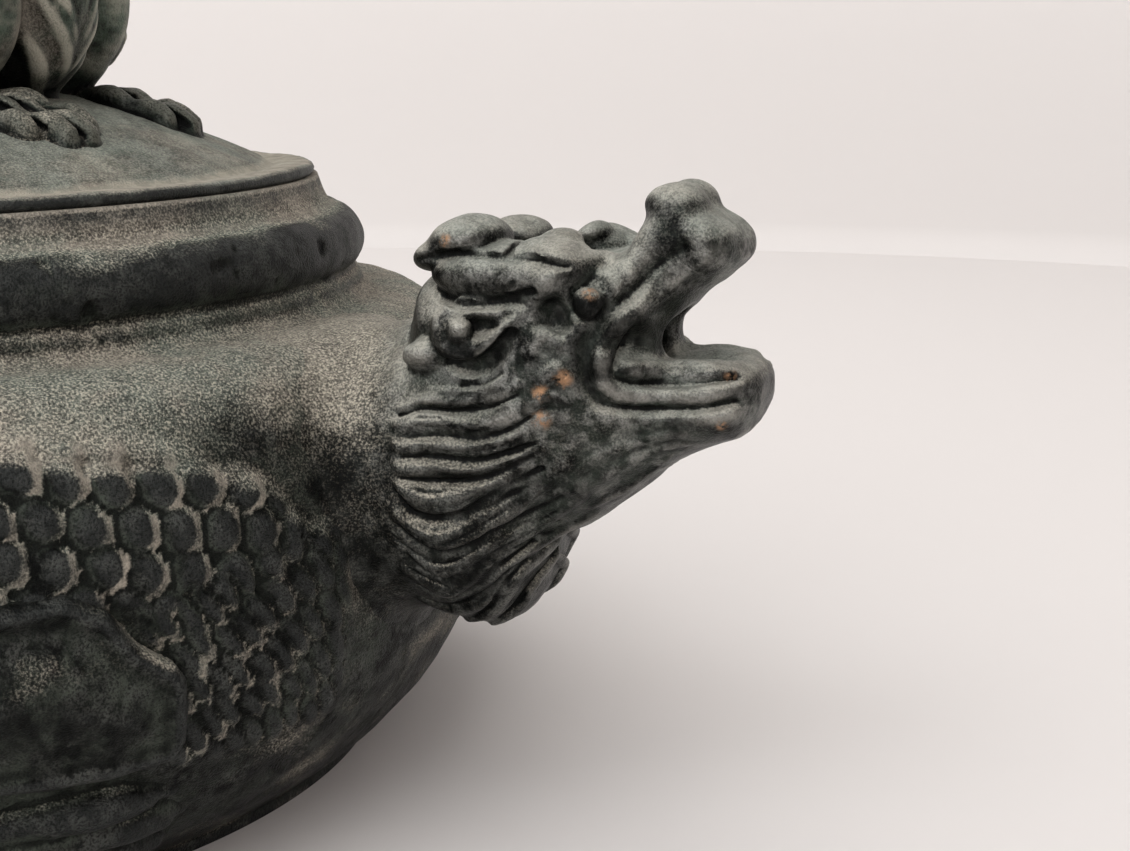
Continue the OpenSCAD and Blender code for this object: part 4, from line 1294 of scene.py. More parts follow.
        draped((
            ((9.6, 26, 0.8), (6.4, 25, 1.3), (3.4, 21.6, 1.4), (2.6, 18, 0.8)),
            ((11.4, 22.4, 0.8), (8, 21, 1.4), (5, 17.6, 1.4), (4.6, 14, 0.8)),
            ((12.8, 18.6, 0.7), (9.4, 17.2, 1.3), (7, 13.8, 1.3), (7.4, 10.4, 0.7)),
            ((14.4, 15.8, 0.6), (11.8, 14, 1.1), (10, 11, 1.1), (10.4, 8, 0.6)),
            ((4.2, 25.4, 0.7), (1.4, 22.4, 1.2), (-0.4, 18.4, 1.2), (0.6, 14.8, 0.7)),
            ((2, 19, 0.7), (0, 15.4, 1.0), (0.8, 11.8, 0.7)),
            ((-16.2, 10, 0.5), (-13, 12.6, 0.8), (-8.6, 11.4, 0.6)),
            ((-15.4, 6.8, 0.5), (-12, 9, 0.8), (-7.6, 7.4, 0.6)),
            ((20.0, 3.6, 0.5), (17.4, 1.4, 0.8), (14.0, 2.0, 0.6)),
        ), 0.2)
        for lock in range(9):
            x = 2.5 + 1.9 * lock
            draped((((x - 0.6, 12.5, 0.3), (x + 0.7, 9, 0.55), (x + 0.2, 5, 0.5), (x - 1.2, 1.4, 0.3)),), 0.15)
        for rise in range(5):
            up = 2.2 * rise
            self.strand(clay, ((20.4 - 0.3 * rise, -0.4, 7.4 + up, 0.6), (19.6, -2.4, 8 + up, 0.8),
                               (17.8, -4.6, 9.6 + 2.1 * rise, 0.55)), 0.25)
        for lean, y in ((0.0, 0), (2.4, 1), (4.6, 2)):
            self.strand(clay, ((-15, -0.4 * y, 5, 2.6), (-19.6, -0.8 * y, 8 - 0.5 * lean, 2.0),
                               (-21.4 - 0.3 * lean, -1.3 * y, 14 - lean, 1.9),
                               (-17.6 - lean, -1.0 * y, 21 - 2 * lean, 0.5)), 0.3)

    def sculpt(self) -> Skin:
        """The finished beast in its place on the lid."""
        clay = Clay((-25.5, -16.0, self.crown_z - 9.0), (29.5, 0.0, self.crown_z + 33.5), 0.32)
        self.body(clay)
        self.head(clay)
        self.mane(clay)
        radius, middle = self.lid.sphere()
        x, y, z = clay.grids()
        ground = (np.sqrt(x**2 + y**2 + (z - middle) ** 2) - radius).astype(np.float32)
        clay.seat(ground, 1.3, 1.4, 0.3, 1.1)
        skin = clay.skin(mirrored=True)
        skin.points = turned(skin.points, self.turn)
        skin.roughen(5.0, 0.15, 53)
        skin.age(9, 50, 0.13)
        paws = soft_step(skin.points[:, 2], self.crown_z + 1, self.crown_z - 1)
        streaks = layered_noise(skin.points * (1, 1, 0.35), 3.5, 4, 59)
        skin.paint["dust"] = 0.85 * streaks - 0.15 - 0.4 * paws
        skin.paint["plain"] = 0.85 * paws
        return skin


# ---------------------------------------------------------------- finishes


@dataclass(frozen=True)
class Value:
    """An output of a node, which sums and products can be made of.

    Attributes:
        graph: The graph that it is in.
        node: The node.
        output: The output's name or number.
    """

    graph: "Graph"
    node: bpy.types.Node
    output: str | int = 0

    def of(self, output: str) -> "Value":
        """Another output of the same node."""
        return Value(self.graph, self.node, output)

    def __add__(self, other: "Value | float") -> "Value":
        """The sum."""
        return self.graph.math("ADD", self, other)

    def __sub__(self, other: "Value | float") -> "Value":
        """The difference."""
        return self.graph.math("SUBTRACT", self, other)

    def __rsub__(self, other: float) -> "Value":
        """The difference from a number."""
        return self.graph.math("SUBTRACT", other, self)

    def __mul__(self, other: "Value | float") -> "Value":
        """The product."""
        return self.graph.math("MULTIPLY", self, other)

    def most(self, other: "Value") -> "Value":
        """The larger of two values."""
        return self.graph.math("MAXIMUM", self, other)

    def held(self) -> "Value":
        """The value of a sum or product, kept between 0 and 1."""
        self.node.use_clamp = True
        return self

    def span(self, low: float, high: float, to_low: float = 0.0, to_high: float = 1.0) -> "Value":
        """Smoothly maps low to high onto another range."""
        return self.graph.add("MapRange", 0, {"interpolation_type": "SMOOTHSTEP"}, Value=self, From_Min=low,
                              From_Max=high, To_Min=to_low, To_Max=to_high)


@dataclass(frozen=True)
class Graph:
    """Short words for building a node tree.

    Attributes:
        tree: The tree that nodes are added to.
    """

    tree: bpy.types.NodeTree

    def add(self, kind: str, output: str | int = 0, settings: dict | None = None,
            **inputs: object) -> Value:
        """A node.

        Args:
            kind: Its type without the ShaderNode in front.
            output: Which of its outputs is wanted.
            settings: Its own settings.
            inputs: Sockets by name, spaces as underlines: a number or colour, or a value to link from.

        Returns:
            The output.
        """
        made = self.tree.nodes.new("ShaderNode" + kind)
        for key, value in (settings or {}).items():
            setattr(made, key, value)
        for key, value in inputs.items():
            self.feed(made.inputs[key.replace("_", " ")], value)
        return Value(self, made, output)

    def feed(self, socket: bpy.types.NodeSocket, value: object) -> None:
        """Sets a socket, or links it to a value."""
        if isinstance(value, Value):
            self.tree.links.new(value.node.outputs[value.output], socket)
        else:
            socket.default_value = value

    def math(self, operation: str, a: object, b: object) -> Value:
        """The output of a math node."""
        made = self.add("Math", 0, {"operation": operation})
        for socket, value in zip(made.node.inputs, (a, b)):
            self.feed(socket, value)
        return made

    def mix(self, share: object, a: object, b: object) -> Value:
        """The output of a colour mix."""
        made = self.add("Mix", 2, {"data_type": "RGBA"})
        for number, value in ((0, share), (6, a), (7, b)):
            self.feed(made.node.inputs[number], value)
        return made

    def noise(self, place: Value, size_mm: float, detail: float = 4.0, roughness: float = 0.55,
              distortion: float = 0.0) -> Value:
        """The value of a noise whose lumps are about size_mm wide."""
        return self.add("TexNoise", Vector=place, Scale=1 / (size_mm * MM), Detail=detail,
                        Roughness=roughness, Distortion=distortion)

    def attribute(self, name: str) -> Value:
        """A painted value."""
        return self.add("Attribute", "Fac", {"attribute_name": name})


def casting_grain(graph: Graph, place: Value, grain_mm: Value, coarse: Value) -> tuple[Value, ...]:
    """The sandy skin of an old casting: its height, its grains and its pits."""
    scale = graph.math("DIVIDE", 1 / MM, grain_mm)
    sand = graph.add("TexNoise", Vector=place, Scale=scale, Detail=2.0, Roughness=0.65)
    cells = graph.add("TexVoronoi", "Distance", Vector=place, Scale=scale * 0.4)
    swell = graph.noise(place, 1.5, 3.0)
    pits = cells.span(0.0, 0.2, 1.0, 0.0)
    return sand * 1.4 + swell * coarse - pits * 0.5, sand.span(0.34, 0.66), pits


def dust_veil(graph: Graph, place: Value, hollow: Value, painted: Value, plain: Value, sand: Value,
              amount: Value, level: Value, sheltered: Value) -> tuple[Value, ...]:
    """Pale dust, grain by grain, on faces that look up and in painted places; on the head it partly stands in
    for painted highlight.
    """
    up = graph.add("SeparateXYZ", "Z", Vector=graph.add("NewGeometry", "Normal"))
    total = up.span(0.1, 0.9) * level + hollow * sheltered + painted
    patches = graph.noise(place, 7.0, 5.0, 0.62) - 0.5
    grains = sand - 0.5
    total = total + (patches * 1.2 + grains * 0.3)
    thick = amount.most(painted.most(plain) * 0.85)
    return ((total.span(0.0, 1.1) * thick).held(),)


def green_bloom(graph: Graph, place: Value, broad: Value, amount: Value) -> tuple[Value, ...]:
    """Patches where the patina turns blue-green, mostly in sheltered hollows."""
    patches = graph.noise(place, 9.0, 6.0, 0.6, 0.6)
    fine = graph.noise(place, 1.1, 3.0)
    total = patches * 0.8 + fine * 0.3 + broad
    return ((total.span(0.46, 0.72) * amount).held(),)


def wear_and_painted_sheen(graph: Graph, place: Value, hollow: Value, broad: Value, painted: Value,
               amount: Value) -> tuple[Value, ...]:
    """Edges and high spots, paler partly from handling and partly as painted highlight, and copper where the
    patina is gone.
    """
    ridge = hollow * -0.8 + broad * -0.6
    rubbed_and_sheen = ridge + (graph.noise(place, 4.0, 4.0) - 0.5) * 1.2
    wear_and_sheen = (rubbed_and_sheen.span(0.15, 0.9) * amount).held()
    return wear_and_sheen, painted * graph.noise(place, 0.9, 4.0, 0.7).span(0.42, 0.6)


@dataclass(frozen=True)
class Effect:
    """An effect that several finishes share, as a node group.

    Attributes:
        name: The group's name.
        work: Builds its nodes: takes the graph, the place and each input, and gives back each output.
        inputs: Number inputs with their defaults.
        outputs: Outputs.
    """

    name: str
    work: Callable[..., tuple[Value, ...]]
    inputs: dict[str, float]
    outputs: tuple[str, ...]

    def group(self) -> bpy.types.NodeTree:
        """The finished node group."""
        tree = bpy.data.node_groups.new(self.name, "ShaderNodeTree")
        tree.interface.new_socket("Place", in_out="INPUT", socket_type="NodeSocketVector")
        for key, value in self.inputs.items():
            made = tree.interface.new_socket(key, in_out="INPUT", socket_type="NodeSocketFloat")
            made.default_value = value
        for key in self.outputs:
            tree.interface.new_socket(key, in_out="OUTPUT", socket_type="NodeSocketFloat")
        graph = Graph(tree)
        given, taken = tree.nodes.new("NodeGroupInput"), tree.nodes.new("NodeGroupOutput")
        results = self.work(graph, *(Value(graph, given, key) for key in ("Place", *self.inputs)))
        for key, result in zip(self.outputs, results):
            graph.feed(taken.inputs[key], result)
        return tree


EFFECTS: dict[str, Effect] = {
    "grain": Effect("casting grain", casting_grain, {"Grain mm": 0.2, "Coarse": 1.0},
                    ("Height", "Sand", "Pits")),
    "dust": Effect("dust veil", dust_veil, {"Hollow": 0.0, "Painted": 0.0, "Plain": 0.0, "Sand": 0.5,
                                            "Amount": 0.5, "Level": 0.5, "Sheltered": 0.2}, ("Dust",)),
    "bloom": Effect("green bloom", green_bloom, {"Broad": 0.0, "Amount": 0.5}, ("Bloom",)),
    "wear_and_sheen": Effect("wear and painted sheen", wear_and_painted_sheen, {"Hollow": 0.0, "Broad": 0.0, "Painted": 0.0, "Amount": 0.5},
                   ("Rub and sheen", "Copper")),
}
PLAIN_MID: Colour = (0.08, 0.083, 0.076, 1)
PLAIN_DUST: Colour = (0.34, 0.31, 0.255, 1)
# Colour of the painted shade that hollows are darkened towards.
HOLLOW_SHADE: Colour = (0.004, 0.0042, 0.004, 1)
SPARK: Colour = (0.62, 0.57, 0.46, 1)
PIT: Colour = (0.008, 0.009, 0.009, 1)


def new_material(name: str) -> tuple[bpy.types.Material, Graph]:
    """A material without nodes, and its graph."""
    made = bpy.data.materials.new(name)
    made.use_nodes = True
    made.node_tree.nodes.clear()
    return made, Graph(made.node_tree)


@dataclass(frozen=True)
class Bronze:
    """Old cast bronze under a dark patina.

    Attributes:
        name: The material's name.
        dark: Colour of the patina's darkest parts.
        mid: Colour of its lighter parts.
        green: Colour of the bloom.
        dust: Colour of the dust.
        film: Colour of the greener, thinner dust.
        rubbed_and_sheen: Colour of handled edges and ridges, partly wear and partly painted highlight.
        copper: Colour of the metal where the patina is gone.
        dustiness: How much dust lies on it.
        level: How much of the dust lies on faces that look up.
        bloom: How much has turned green.
        wear: How strongly edges and ridges are paled, partly as wear and partly as painted highlight.
        grain: Width of the sand's grains in millimetres.
        coarse: Strength of the coarser swellings.
        bump: Height of the sandy skin in millimetres.
        sheltered: How much dust lies in hollows; less than 0 keeps it on the ridges.
        pitting: How dark the pits between the grains are.
        hollow_shade: How dark the painted shade in hollows is.
        sparkle: How pale the brightest grains of the dust are.
        stretch: Less than 1 draws the stains out upright.
        nesting: How far the bloom keeps to hollows; less than 0 keeps it on raised parts.
        gloss: Roughness of the smoothest patches.
    """

    name: str
    dark: Colour = (0.004, 0.0045, 0.004, 1)
    mid: Colour = PLAIN_MID
    green: Colour = (0.085, 0.098, 0.08, 1)
    dust: Colour = (0.36, 0.325, 0.27, 1)
    film: Colour = (0.23, 0.25, 0.21, 1)
    rubbed_and_sheen: Colour = (0.075, 0.08, 0.078, 1)
    copper: Colour = (0.36, 0.21, 0.12, 1)
    dustiness: float = 0.7
    level: float = 0.5
    bloom: float = 0.4
    wear: float = 0.5
    grain: float = 0.2
    coarse: float = 1.0
    bump: float = 0.14
    sheltered: float = 0.25
    pitting: float = 0.7
    hollow_shade: float = 0.4
    sparkle: float = 0.75
    stretch: float = 1.0
    nesting: float = 0.25
    gloss: float = 0.46

    def material(self, groups: dict[str, bpy.types.NodeTree]) -> bpy.types.Material:
        """A new material that uses the shared effects' groups."""
        made, graph = new_material(self.name)
        place = graph.add("TexCoord", "Object")
        hollow, broad = graph.attribute("hollow"), graph.attribute("broad")
        painted, plain = graph.attribute("dust"), graph.attribute("plain")

        def effect(name: str, **inputs: object) -> Value:
            """A placed shared effect."""
            return graph.add("Group", 0, {"node_tree": groups[name]}, Place=place, **inputs)

        grain = effect("grain", Grain_mm=self.grain, Coarse=self.coarse)
        sand, pits = grain.of("Sand"), grain.of("Pits")
        dust = effect("dust", Hollow=hollow, Painted=painted, Plain=plain, Sand=sand,
                      Amount=self.dustiness, Level=self.level, Sheltered=self.sheltered)
        bloom = effect("bloom", Broad=broad * self.nesting, Amount=self.bloom)
        wear_and_sheen = effect("wear_and_sheen", Hollow=hollow, Broad=broad, Painted=graph.attribute("copper"), Amount=self.wear)
        drawn = graph.add("Mapping", Vector=place, Scale=(1.0, 1.0, self.stretch))
        cloud = graph.noise(drawn, 6.0, 6.0, 0.65).span(0.38, 0.6, 0.2, 1.0)
        stain = graph.noise(drawn, 1.9, 5.0, 0.7, 0.2).span(0.4, 0.61)
        even = painted.span(0.1, 0.6, 1.0, 0.3).most(plain)
        tone = (cloud * stain * sand.span(0.0, 1.0, 1 - 0.7 * self.pitting, 1.1)).held()
        colour = graph.mix(tone, self.dark, graph.mix(plain, self.mid, PLAIN_MID))
        colour = graph.mix(bloom * plain.span(0.0, 1.0, 1.0, 0.2), colour, self.green)
        # Paler handled edges and ridges: partly wear, partly painted highlight.
        colour = graph.mix(wear_and_sheen.of("Rub and sheen") * plain.span(0.0, 1.0, 1.0, 0.2), colour, self.rubbed_and_sheen)
        # Painted shade: hollows are darkened towards near black.
        colour = graph.mix(hollow.span(-0.1, 0.6, 0.0, self.hollow_shade), colour, HOLLOW_SHADE)
        warm = (graph.noise(place, 11.0, 5.0, 0.6).span(0.38, 0.62) + painted).held()
        tint = graph.mix(plain, graph.mix(warm, self.film, self.dust), PLAIN_DUST)
        colour = graph.mix(dust * stain.span(0.0, 1.0, 0.72, 1.0), colour, tint)
        sparkle = even * plain.span(0.0, 1.0, self.sparkle, 0.75)
        colour = graph.mix(sand.span(0.65, 1.0) * (dust * sparkle), colour, SPARK)
        deep = pits + sand.span(0.5, 0.0, 0.0, 0.9)
        deep = (deep * (even * plain.span(0.0, 1.0, self.pitting, 0.7))).held()
        colour = graph.mix(deep, colour, PIT)
        colour = graph.mix(wear_and_sheen.of("Copper"), colour, self.copper)
        clean = (1.0 - dust).held()
        roughness = dust * 0.3 + cloud.span(0.2, 1.0, self.gloss, self.gloss + 0.12)
        metallic = clean * 0.8
        bump = graph.add("Bump", Strength=1.0, Distance=self.bump * MM, Height=grain.of("Height"))
        shader = graph.add("BsdfPrincipled", Base_Color=colour, Roughness=roughness, Metallic=metallic,
                           Normal=bump, Specular_IOR_Level=0.2)
        graph.add("OutputMaterial", Surface=shader)
        return made


@dataclass(frozen=True)
class Glaze:
    """The ink cup's pale glaze, with ink stains low in the cup.

    Attributes:
        name: The material's name.
        clean: Colour of the glaze.
        aged: Colour of its yellower patches.
        crack: Colour of its fine cracks.
        stain: Colour of dried ink.
        stain_z: Height below which the ink has stained it, in millimetres.
    """

    name: str = "crackled_glaze"
    clean: Colour = (0.66, 0.66, 0.58, 1)
    aged: Colour = (0.56, 0.58, 0.47, 1)
    crack: Colour = (0.30, 0.26, 0.18, 1)
    stain: Colour = (0.012, 0.013, 0.02, 1)
    stain_z: float = 20.0

    def material(self, groups: dict[str, bpy.types.NodeTree]) -> bpy.types.Material:
        """A new material that uses the shared effects' groups."""
        made, graph = new_material(self.name)
        place = graph.add("TexCoord", "Object")
        height = graph.add("SeparateXYZ", "Z", Vector=place)
        crackle = graph.add("TexVoronoi", "Distance", {"feature": "DISTANCE_TO_EDGE"},
                            Vector=place, Scale=300.0)
        line = crackle.span(0.0, 0.03, 1.0, 0.0)
        wander = (graph.noise(place, 9.0, 5.0) - 0.5) * 0.012
        inked = (height + wander).span((self.stain_z + 3) * MM, (self.stain_z - 3) * MM)
        tint = graph.mix(graph.noise(place, 12.0, 4.0).span(0.4, 0.7), self.clean, self.aged)
        colour = graph.mix(line * 0.55, tint, self.crack)
        colour = graph.mix(inked, colour, self.stain)
        grain = graph.add("Group", "Height", {"node_tree": groups["grain"]},
                          Place=place, Grain_mm=0.8, Coarse=0.6)
        bump = graph.add("Bump", Strength=0.5, Distance=0.02 * MM, Height=grain)
        shader = graph.add("BsdfPrincipled", Base_Color=colour, Roughness=inked.span(0, 1, 0.16, 0.5),
                           Normal=bump, Coat_Weight=0.4)
        graph.add("OutputMaterial", Surface=shader)
        return made


# ---------------------------------------------------------------- camera, stage and image points


@dataclass(frozen=True)
class PhotoCamera:
    """The photograph's camera, settled by the image points.

    Attributes:
        place: Its place in millimetres.
        heading: Turn about the vertical of its line of sight, in degrees from +Y.
        pitch: How far it looks down, in degrees.
        roll: Its turn about its own line of sight, in degrees.
        lens: Focal length in millimetres.
        sensor: Sensor width in millimetres.
        width: Width of the photograph's frame.
        height: Height of the photograph's frame.
    """

    place: Triple = (121.5, -125.4, 67.6)
    heading: float = 22.0
    pitch: float = 12.9
    roll: float = -0.8
    lens: float = 52.02
    sensor: float = 36.0
    width: int = 1130
    height: int = 851

    def matrix(self) -> Matrix:
        """Camera axes to world, in metres."""
        turn = Matrix.Rotation(math.radians(self.heading), 4, "Z")
        turn = turn @ Matrix.Rotation(math.radians(90 - self.pitch), 4, "X")
        turn = turn @ Matrix.Rotation(math.radians(self.roll), 4, "Z")
        return Matrix.Translation(Vector(self.place) * MM) @ turn

    def build(self) -> bpy.types.Object:
        """Creates the camera and makes it the scene's."""
        data = bpy.data.cameras.new("photo_camera")
        data.lens = self.lens
        data.sensor_width = self.sensor
        data.sensor_fit = "AUTO"
        data.clip_start = 0.01
        made = put("photo_camera", data)
        made.matrix_world = self.matrix()
        bpy.context.scene.camera = made
        return made

    def ray(self, x: float, y: float) -> tuple[Vector, Vector]:
        """Where a picture point's line of sight starts and where it goes."""
        longest = max(self.width, self.height)
        along = Vector((x - self.width / 2, self.height / 2 - y, -longest * self.lens / self.sensor))
        axes = self.matrix()
        return axes.translation, (axes.to_3x3() @ along).normalized()

    def project(self, points: np.ndarray) -> np.ndarray:
        """Picture points of places in metres: rows of x and y."""
        axes = np.array(self.matrix().inverted())
        local = points @ axes[:3, :3].T + axes[:3, 3]
        scale = max(self.width, self.height) * self.lens / self.sensor / -local[:, 2]
        return np.column_stack([self.width / 2 + local[:, 0] * scale, self.height / 2 - local[:, 1] * scale])


@dataclass(frozen=True)
class ImagePoint:
    """A place in the photograph that something of the model should show at.

    Attributes:
        x: Its x in the photograph.
        y: Its y in the photograph.
        piece: The piece that carries it.
        edge: Which way its outline lies there, as right and down; (0, 0) for a place on its surface.
        reach: How far round the point its edge is looked for.
    """

    x: float
    y: float
    piece: str
    edge: tuple[int, int] = (0, 0)
    reach: float = 26.0


EDGES: dict[str, ImagePoint] = {
    "object_right_chin": ImagePoint(773, 388, "dragon_head_cast", (1, 0)),
    "snout_top": ImagePoint(695, 180, "dragon_head_cast", (0, -1)),
    "snout_tip": ImagePoint(757, 245, "dragon_head_cast", (1, 0)),
    "crest_back": ImagePoint(415, 253, "dragon_head_cast", (-1, 0)),
    "crest_top": ImagePoint(480, 213, "dragon_head_cast", (0, -1)),
    "mane_bottom": ImagePoint(490, 630, "dragon_head_cast", (0, 1)),
    "roll_right": ImagePoint(362, 232, "vessel_cast", (1, 0)),
    "lid_lip_right": ImagePoint(317, 178, "lid_cast", (1, 0)),
    "belly_low_right": ImagePoint(372, 719, "vessel_cast", (1, 1), 8.0),
    "chest_right": ImagePoint(128, 27, "beast_cast", (1, 0)),
    "far_paw_tip": ImagePoint(198, 128, "beast_cast", (1, 0)),
}

WORN_SPOTS: dict[str, tuple[ImagePoint, float]] = {
    "cheek_copper": (ImagePoint(563, 380, "dragon_head_cast"), 0.8),
    "curl_copper_high": (ImagePoint(540, 393, "dragon_head_cast"), 0.7),
    "curl_copper_low": (ImagePoint(541, 421, "dragon_head_cast"), 0.8),
    "eye_copper": (ImagePoint(590, 292, "dragon_head_cast"), 0.7),
    "jaw_copper": (ImagePoint(731, 376, "dragon_head_cast"), 0.5),
    "chin_copper": (ImagePoint(722, 426, "dragon_head_cast"), 0.5),
    "crest_copper": (ImagePoint(444, 240, "dragon_head_cast"), 0.6),
}


class Picture:
    """Ties the model to the photograph's points."""

    def __init__(self, camera: PhotoCamera, pieces: dict[str, bpy.types.Object]) -> None:
        """Keeps the finished pieces and a search tree of each that carries a point.

        Args:
            camera: The photograph's camera.
            pieces: Finished pieces by name.
        """
        self.camera = camera
        self.pieces = pieces
        self.trees: dict[str, BVHTree] = {}
        self.found: dict[str, dict[str, float]] = {}

    def tree(self, name: str) -> BVHTree:
        """The search tree of a piece."""
        if name not in self.trees:
            self.trees[name] = BVHTree.FromObject(self.pieces[name], bpy.context.evaluated_depsgraph_get())
        return self.trees[name]

    def place(self, point: ImagePoint) -> Vector:
        """Where a point's line of sight meets its piece, or passes nearest to it."""
        start, along = self.camera.ray(point.x, point.y)
        hit = self.tree(point.piece).ray_cast(start, along)[0]
        if hit is not None:
            return hit
        tree = self.tree(point.piece)
        steps = (tree.find_nearest(start + along * step * MM) for step in range(60, 300, 2))
        return min(steps, key=lambda found: found[3])[0]

    def co(self, name: str) -> np.ndarray:
        """A piece's points in metres."""
        mesh = self.pieces[name].data
        flat = np.empty(len(mesh.vertices) * 3, np.float32)
        mesh.vertices.foreach_get("co", flat)
        return flat.reshape(-1, 3).astype(float)

    def note(self, name: str, shows: np.ndarray, point: ImagePoint) -> None:
        """Notes how far a thing shows from its point."""
        dx, dy = (round(float(part), 1) for part in shows - (point.x, point.y))
        self.found[name] = {"dx": dx, "dy": dy}

    def wear(self) -> None:
        """Paints the copper that shows where the patina is gone."""
        for name, (point, radius) in WORN_SPOTS.items():
            middle = np.array(self.place(point))
            data = self.pieces[point.piece].data.attributes["copper"].data
            values = np.empty(len(data), np.float32)
            data.foreach_get("value", values)
            far = np.linalg.norm(self.co(point.piece) - middle, axis=1) / MM
            values = np.maximum(values, soft_step(far, radius * 1.3, radius * 0.3))
            data.foreach_set("value", values.astype(np.float32))
            self.note(name, self.camera.project(middle[None])[0], point)

    def measure_edges(self) -> None:
        """Notes where the outlines show: the extreme finished point near each image point."""
        for name, point in EDGES.items():
            shown = self.camera.project(self.co(point.piece))
            near = np.abs(shown - [point.x, point.y]).max(axis=1) < point.reach
            candidates = shown[near] if near.any() else shown
            ahead = candidates @ np.array(point.edge, float)
            best = candidates[ahead.argmax()]
            if not all(point.edge):
                across = 1 if point.edge[0] else 0
                level = candidates[ahead > ahead.max() - 1.0]
                best[across] = np.median(level[:, across])
            self.note(name, best, point)

    def write(self) -> None:
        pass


@dataclass(frozen=True)
class Studio:
    """A pale floor that rises into a round backdrop, and soft light.

    Attributes:
        floor: Colour of the floor and backdrop.
        floor_r: Radius at which the floor starts to rise.
        sweep: Radius of its rise.
        wall: Height of the backdrop.
        key: Power of the main lamp.
        fill: Power of the lamp on the camera's side.
        sky: Brightness of the world.
        glow: How much brighter the backdrop looks to the camera than the lamps make it.
    """

    floor: Colour = (0.78, 0.745, 0.73, 1)
    floor_r: float = 0.42
    sweep: float = 0.7
    wall: float = 1.0
    key: float = 6.2
    fill: float = 4.0
    sky: float = 0.48
    glow: float = 0.2

    def backdrop(self) -> bpy.types.Object:
        """The floor and the backdrop in one."""
        bend = np.linspace(0, math.pi / 2, 18)
        outline = [(0.0, 0.0), (self.floor_r, 0.0)]
        outline += [(self.floor_r + self.sweep * math.sin(a), self.sweep * (1 - math.cos(a))) for a in bend[1:]]
        outline.append((self.floor_r + self.sweep, self.wall))
        sides = 72
        turn = np.linspace(0, 2 * math.pi, sides, endpoint=False)
        vertices = [(r * math.cos(a), r * math.sin(a), z) for r, z in outline[1:] for a in turn]
        faces = [tuple(range(sides))]
        for row in range(len(outline) - 2):
            for k in range(sides):
                a, b = row * sides + k, row * sides + (k + 1) % sides
                faces.append((a, b, b + sides, a + sides))
        mesh = bpy.data.meshes.new("studio_floor")
        mesh.from_pydata(vertices, [], faces)
        mesh.polygons.foreach_set("use_smooth", [False] + [True] * (len(faces) - 1))
        made = put("studio_floor", mesh)
        paint = bpy.data.materials.new("pale_paper")
        paint.use_nodes = True
        shader = paint.node_tree.nodes["Principled BSDF"]
        shader.inputs["Base Color"].default_value = self.floor
        shader.inputs["Roughness"].default_value = 0.9
        graph = Graph(paint.node_tree)
        height = graph.add("SeparateXYZ", "Z", Vector=graph.add("TexCoord", "Object"))
        seen = graph.add("LightPath", "Is Camera Ray")
        shader.inputs["Emission Color"].default_value = (1.0, 0.965, 0.94, 1)
        graph.feed(shader.inputs["Emission Strength"], seen * height.span(0.0, 0.3, 0.0, self.glow))
        mesh.materials.append(paint)
        return made

    def lamp(self, name: str, place: Triple, aim: Triple, size: float, power: float, colour: Triple) -> None:
        """A square soft lamp.

        Args:
            name: Its name.
            place: Its place in metres.
            aim: What it points at, in metres.
            size: Its width.
            power: Its power.
            colour: Its colour.
        """
        data = bpy.data.lights.new(name, "AREA")
        data.size = size
        data.energy = power
        data.color = colour
        made = put(name, data)
        made.location = place
        made.rotation_euler = (Vector(aim) - Vector(place)).to_track_quat("-Z", "Y").to_euler()

    def build(self) -> None:
        """Floor, backdrop, lamps and world."""
        self.backdrop()
        middle = (0.03, 0.0, 0.03)
        self.lamp("key_lamp", (-0.30, -0.12, 0.80), middle, 1.35, self.key, (1.0, 0.985, 0.965))
        self.lamp("fill_lamp", (-0.10, -0.70, 0.60), middle, 0.8, self.fill, (0.95, 0.98, 1.0))
        world = bpy.data.worlds.new("soft_room")
        world.use_nodes = True
        background = world.node_tree.nodes["Background"]
        background.inputs["Color"].default_value = (1.0, 0.985, 0.97, 1)
        background.inputs["Strength"].default_value = self.sky
        bpy.context.scene.world = world
        bpy.context.scene.view_settings.view_transform = "Standard"


# ---------------------------------------------------------------- the whole


FINISHES: dict[Slot, Bronze] = {
    Slot.VESSEL: Bronze("dusty_cast_bronze", dustiness=0.85, level=1.15, bloom=0.8, wear=0.35, hollow_shade=0.85),
    # The head's pale ridges and upward faces, from its light edge colour and its dust kept on ridges and tops,
    # are partly dust and wear and partly painted highlight.
    Slot.HEAD: Bronze("handled_bronze", dustiness=0.62, level=1.1, bloom=0.3, wear=0.75, bump=0.08, coarse=0.7,
                      mid=(0.2, 0.2, 0.187, 1), rubbed_and_sheen=(0.42, 0.41, 0.37, 1), dust=(0.54, 0.52, 0.45, 1),
                      film=(0.40, 0.42, 0.37, 1), green=(0.12, 0.145, 0.12, 1), sheltered=-0.3, hollow_shade=0.97,
                      gloss=0.36, pitting=0.25, sparkle=0.2),
    Slot.LID: Bronze("lid_bronze", dustiness=0.8, level=1.0, bloom=0.85, wear=0.4, mid=(0.09, 0.095, 0.085, 1),
                     dust=(0.46, 0.42, 0.345, 1), film=(0.33, 0.35, 0.30, 1), green=(0.15, 0.185, 0.155, 1),
                     pitting=0.2, sparkle=0.3),
    # The beast's pale edge colour is partly wear and partly painted highlight.
    Slot.BEAST: Bronze("beast_bronze", dustiness=0.6, level=0.6, bloom=0.6, wear=1.0, bump=0.1, coarse=0.9,
                       mid=(0.085, 0.09, 0.077, 1), green=(0.15, 0.2, 0.155, 1), rubbed_and_sheen=(0.38, 0.37, 0.31, 1),
                       sheltered=-0.1, nesting=-0.1, hollow_shade=1.0, pitting=0.3, sparkle=0.3, stretch=0.4),
    Slot.BASE: Bronze("base_bronze", dustiness=0.4, level=0.1, bloom=0.3, wear=0.3),
}


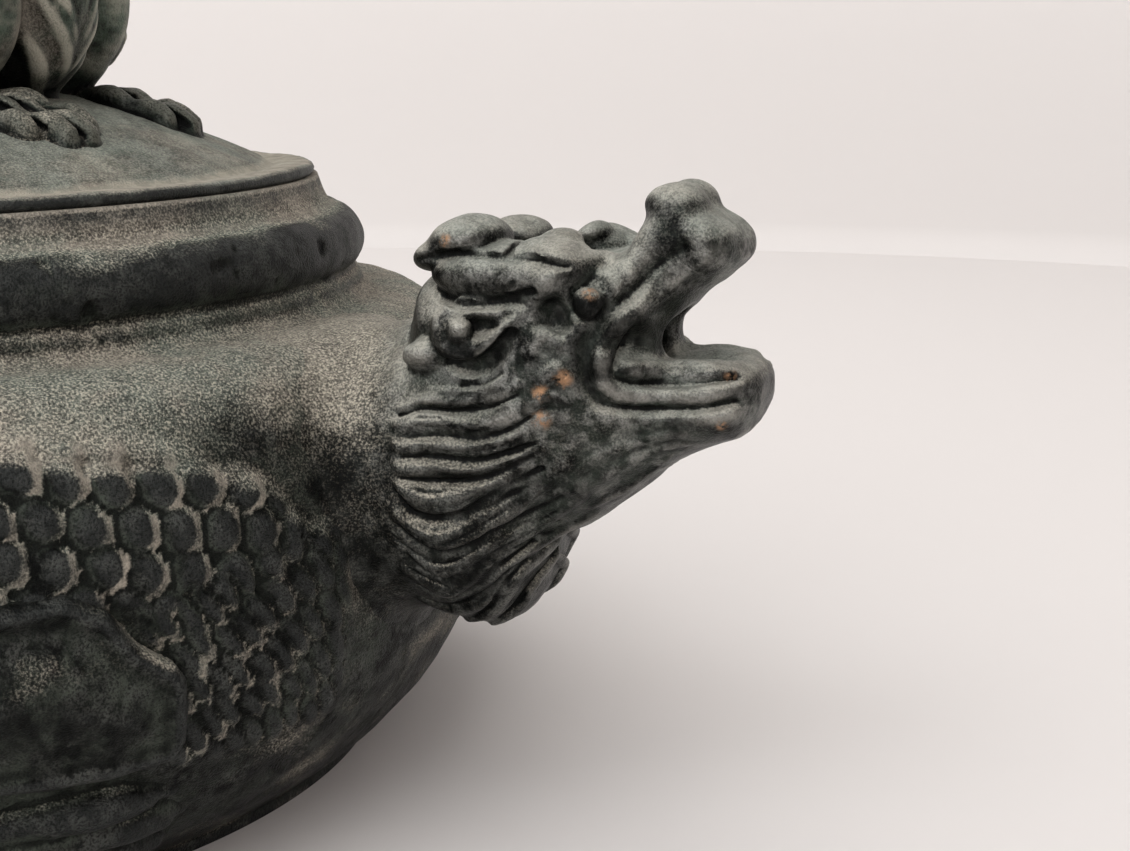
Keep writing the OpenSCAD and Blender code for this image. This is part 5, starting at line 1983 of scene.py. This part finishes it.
class Inkwell:
    """Builds and dresses every piece of the inkwell."""

    def __init__(self) -> None:
        """Makes the shared effects and the materials."""
        groups = {key: effect.group() for key, effect in EFFECTS.items()}
        self.materials = {slot: finish.material(groups) for slot, finish in FINISHES.items()}
        self.materials[Slot.GLAZE] = Glaze().material(groups)
        self.pieces: dict[str, bpy.types.Object] = {}
        self.vessel = VesselBody()
        self.form = TurnedForm(self.vessel.outside())

    def add(self, node: str, skin: Skin, body: Body, slot: Slot, name: str = "") -> None:
        """Adds a finished skin as a piece that stands for a CAD node."""
        name = name or f"{node}_cast"
        self.pieces[name] = skin.piece(name, body, slot, node, self.materials[slot])

    def add_vessel(self) -> None:
        """The vessel, its legs, its tail and the dragon's head."""
        self.add("vessel_body", self.vessel.build(), Body.VESSEL, Slot.VESSEL, "vessel_cast")
        leg = Leg(self.vessel)
        worked = leg.sculpt(self.form)
        for number, (pair, turn) in enumerate((("foreleg", 42.0), ("hindleg", 132.0))):
            for side, word in ((-1, "right"), (1, "left")):
                placed = leg.placed(worked, turn, side, 71 + 2 * number + side)
                self.add(f"{pair}_{word}", placed, Body.VESSEL, Slot.VESSEL)
        self.add("tail", Tail(self.vessel).sculpt(self.form), Body.VESSEL, Slot.VESSEL)
        self.add("dragon_head", DragonHead().sculpt(self.form), Body.VESSEL, Slot.HEAD)

    def add_lid(self) -> None:
        """The lid and the beast on it."""
        lid = Lid()
        self.add("lid", lid.build(), Body.LID, Slot.LID)
        self.add("finial_beast", Beast(lid).sculpt(), Body.LID, Slot.BEAST, "beast_cast")

    def dress_frame(self) -> None:
        """Gives the CAD nodes that stay their materials."""
        for node, slot in (("base_plate", Slot.BASE), ("ink_cup", Slot.GLAZE), ("lid_spigot", Slot.LID),
                           ("finial_rivet", Slot.BASE)):
            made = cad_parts[node]
            made.data.materials.clear()
            made.data.materials.append(self.materials[slot])
            LOG.info("%s: CAD solid, dressed as %s", node, slot.value)


def main() -> None:
    """Builds the camera, the inkwell and the studio, and measures the result against the photograph."""
    logging.basicConfig(level=logging.INFO, format="%(name)s: %(message)s")
    camera = PhotoCamera()
    camera.build()
    inkwell = Inkwell()
    inkwell.add_vessel()
    inkwell.add_lid()
    inkwell.dress_frame()
    Studio().build()
    picture = Picture(camera, inkwell.pieces)
    picture.wear()
    picture.measure_edges()
    picture.write()


if __name__ == "__main__":
    main()
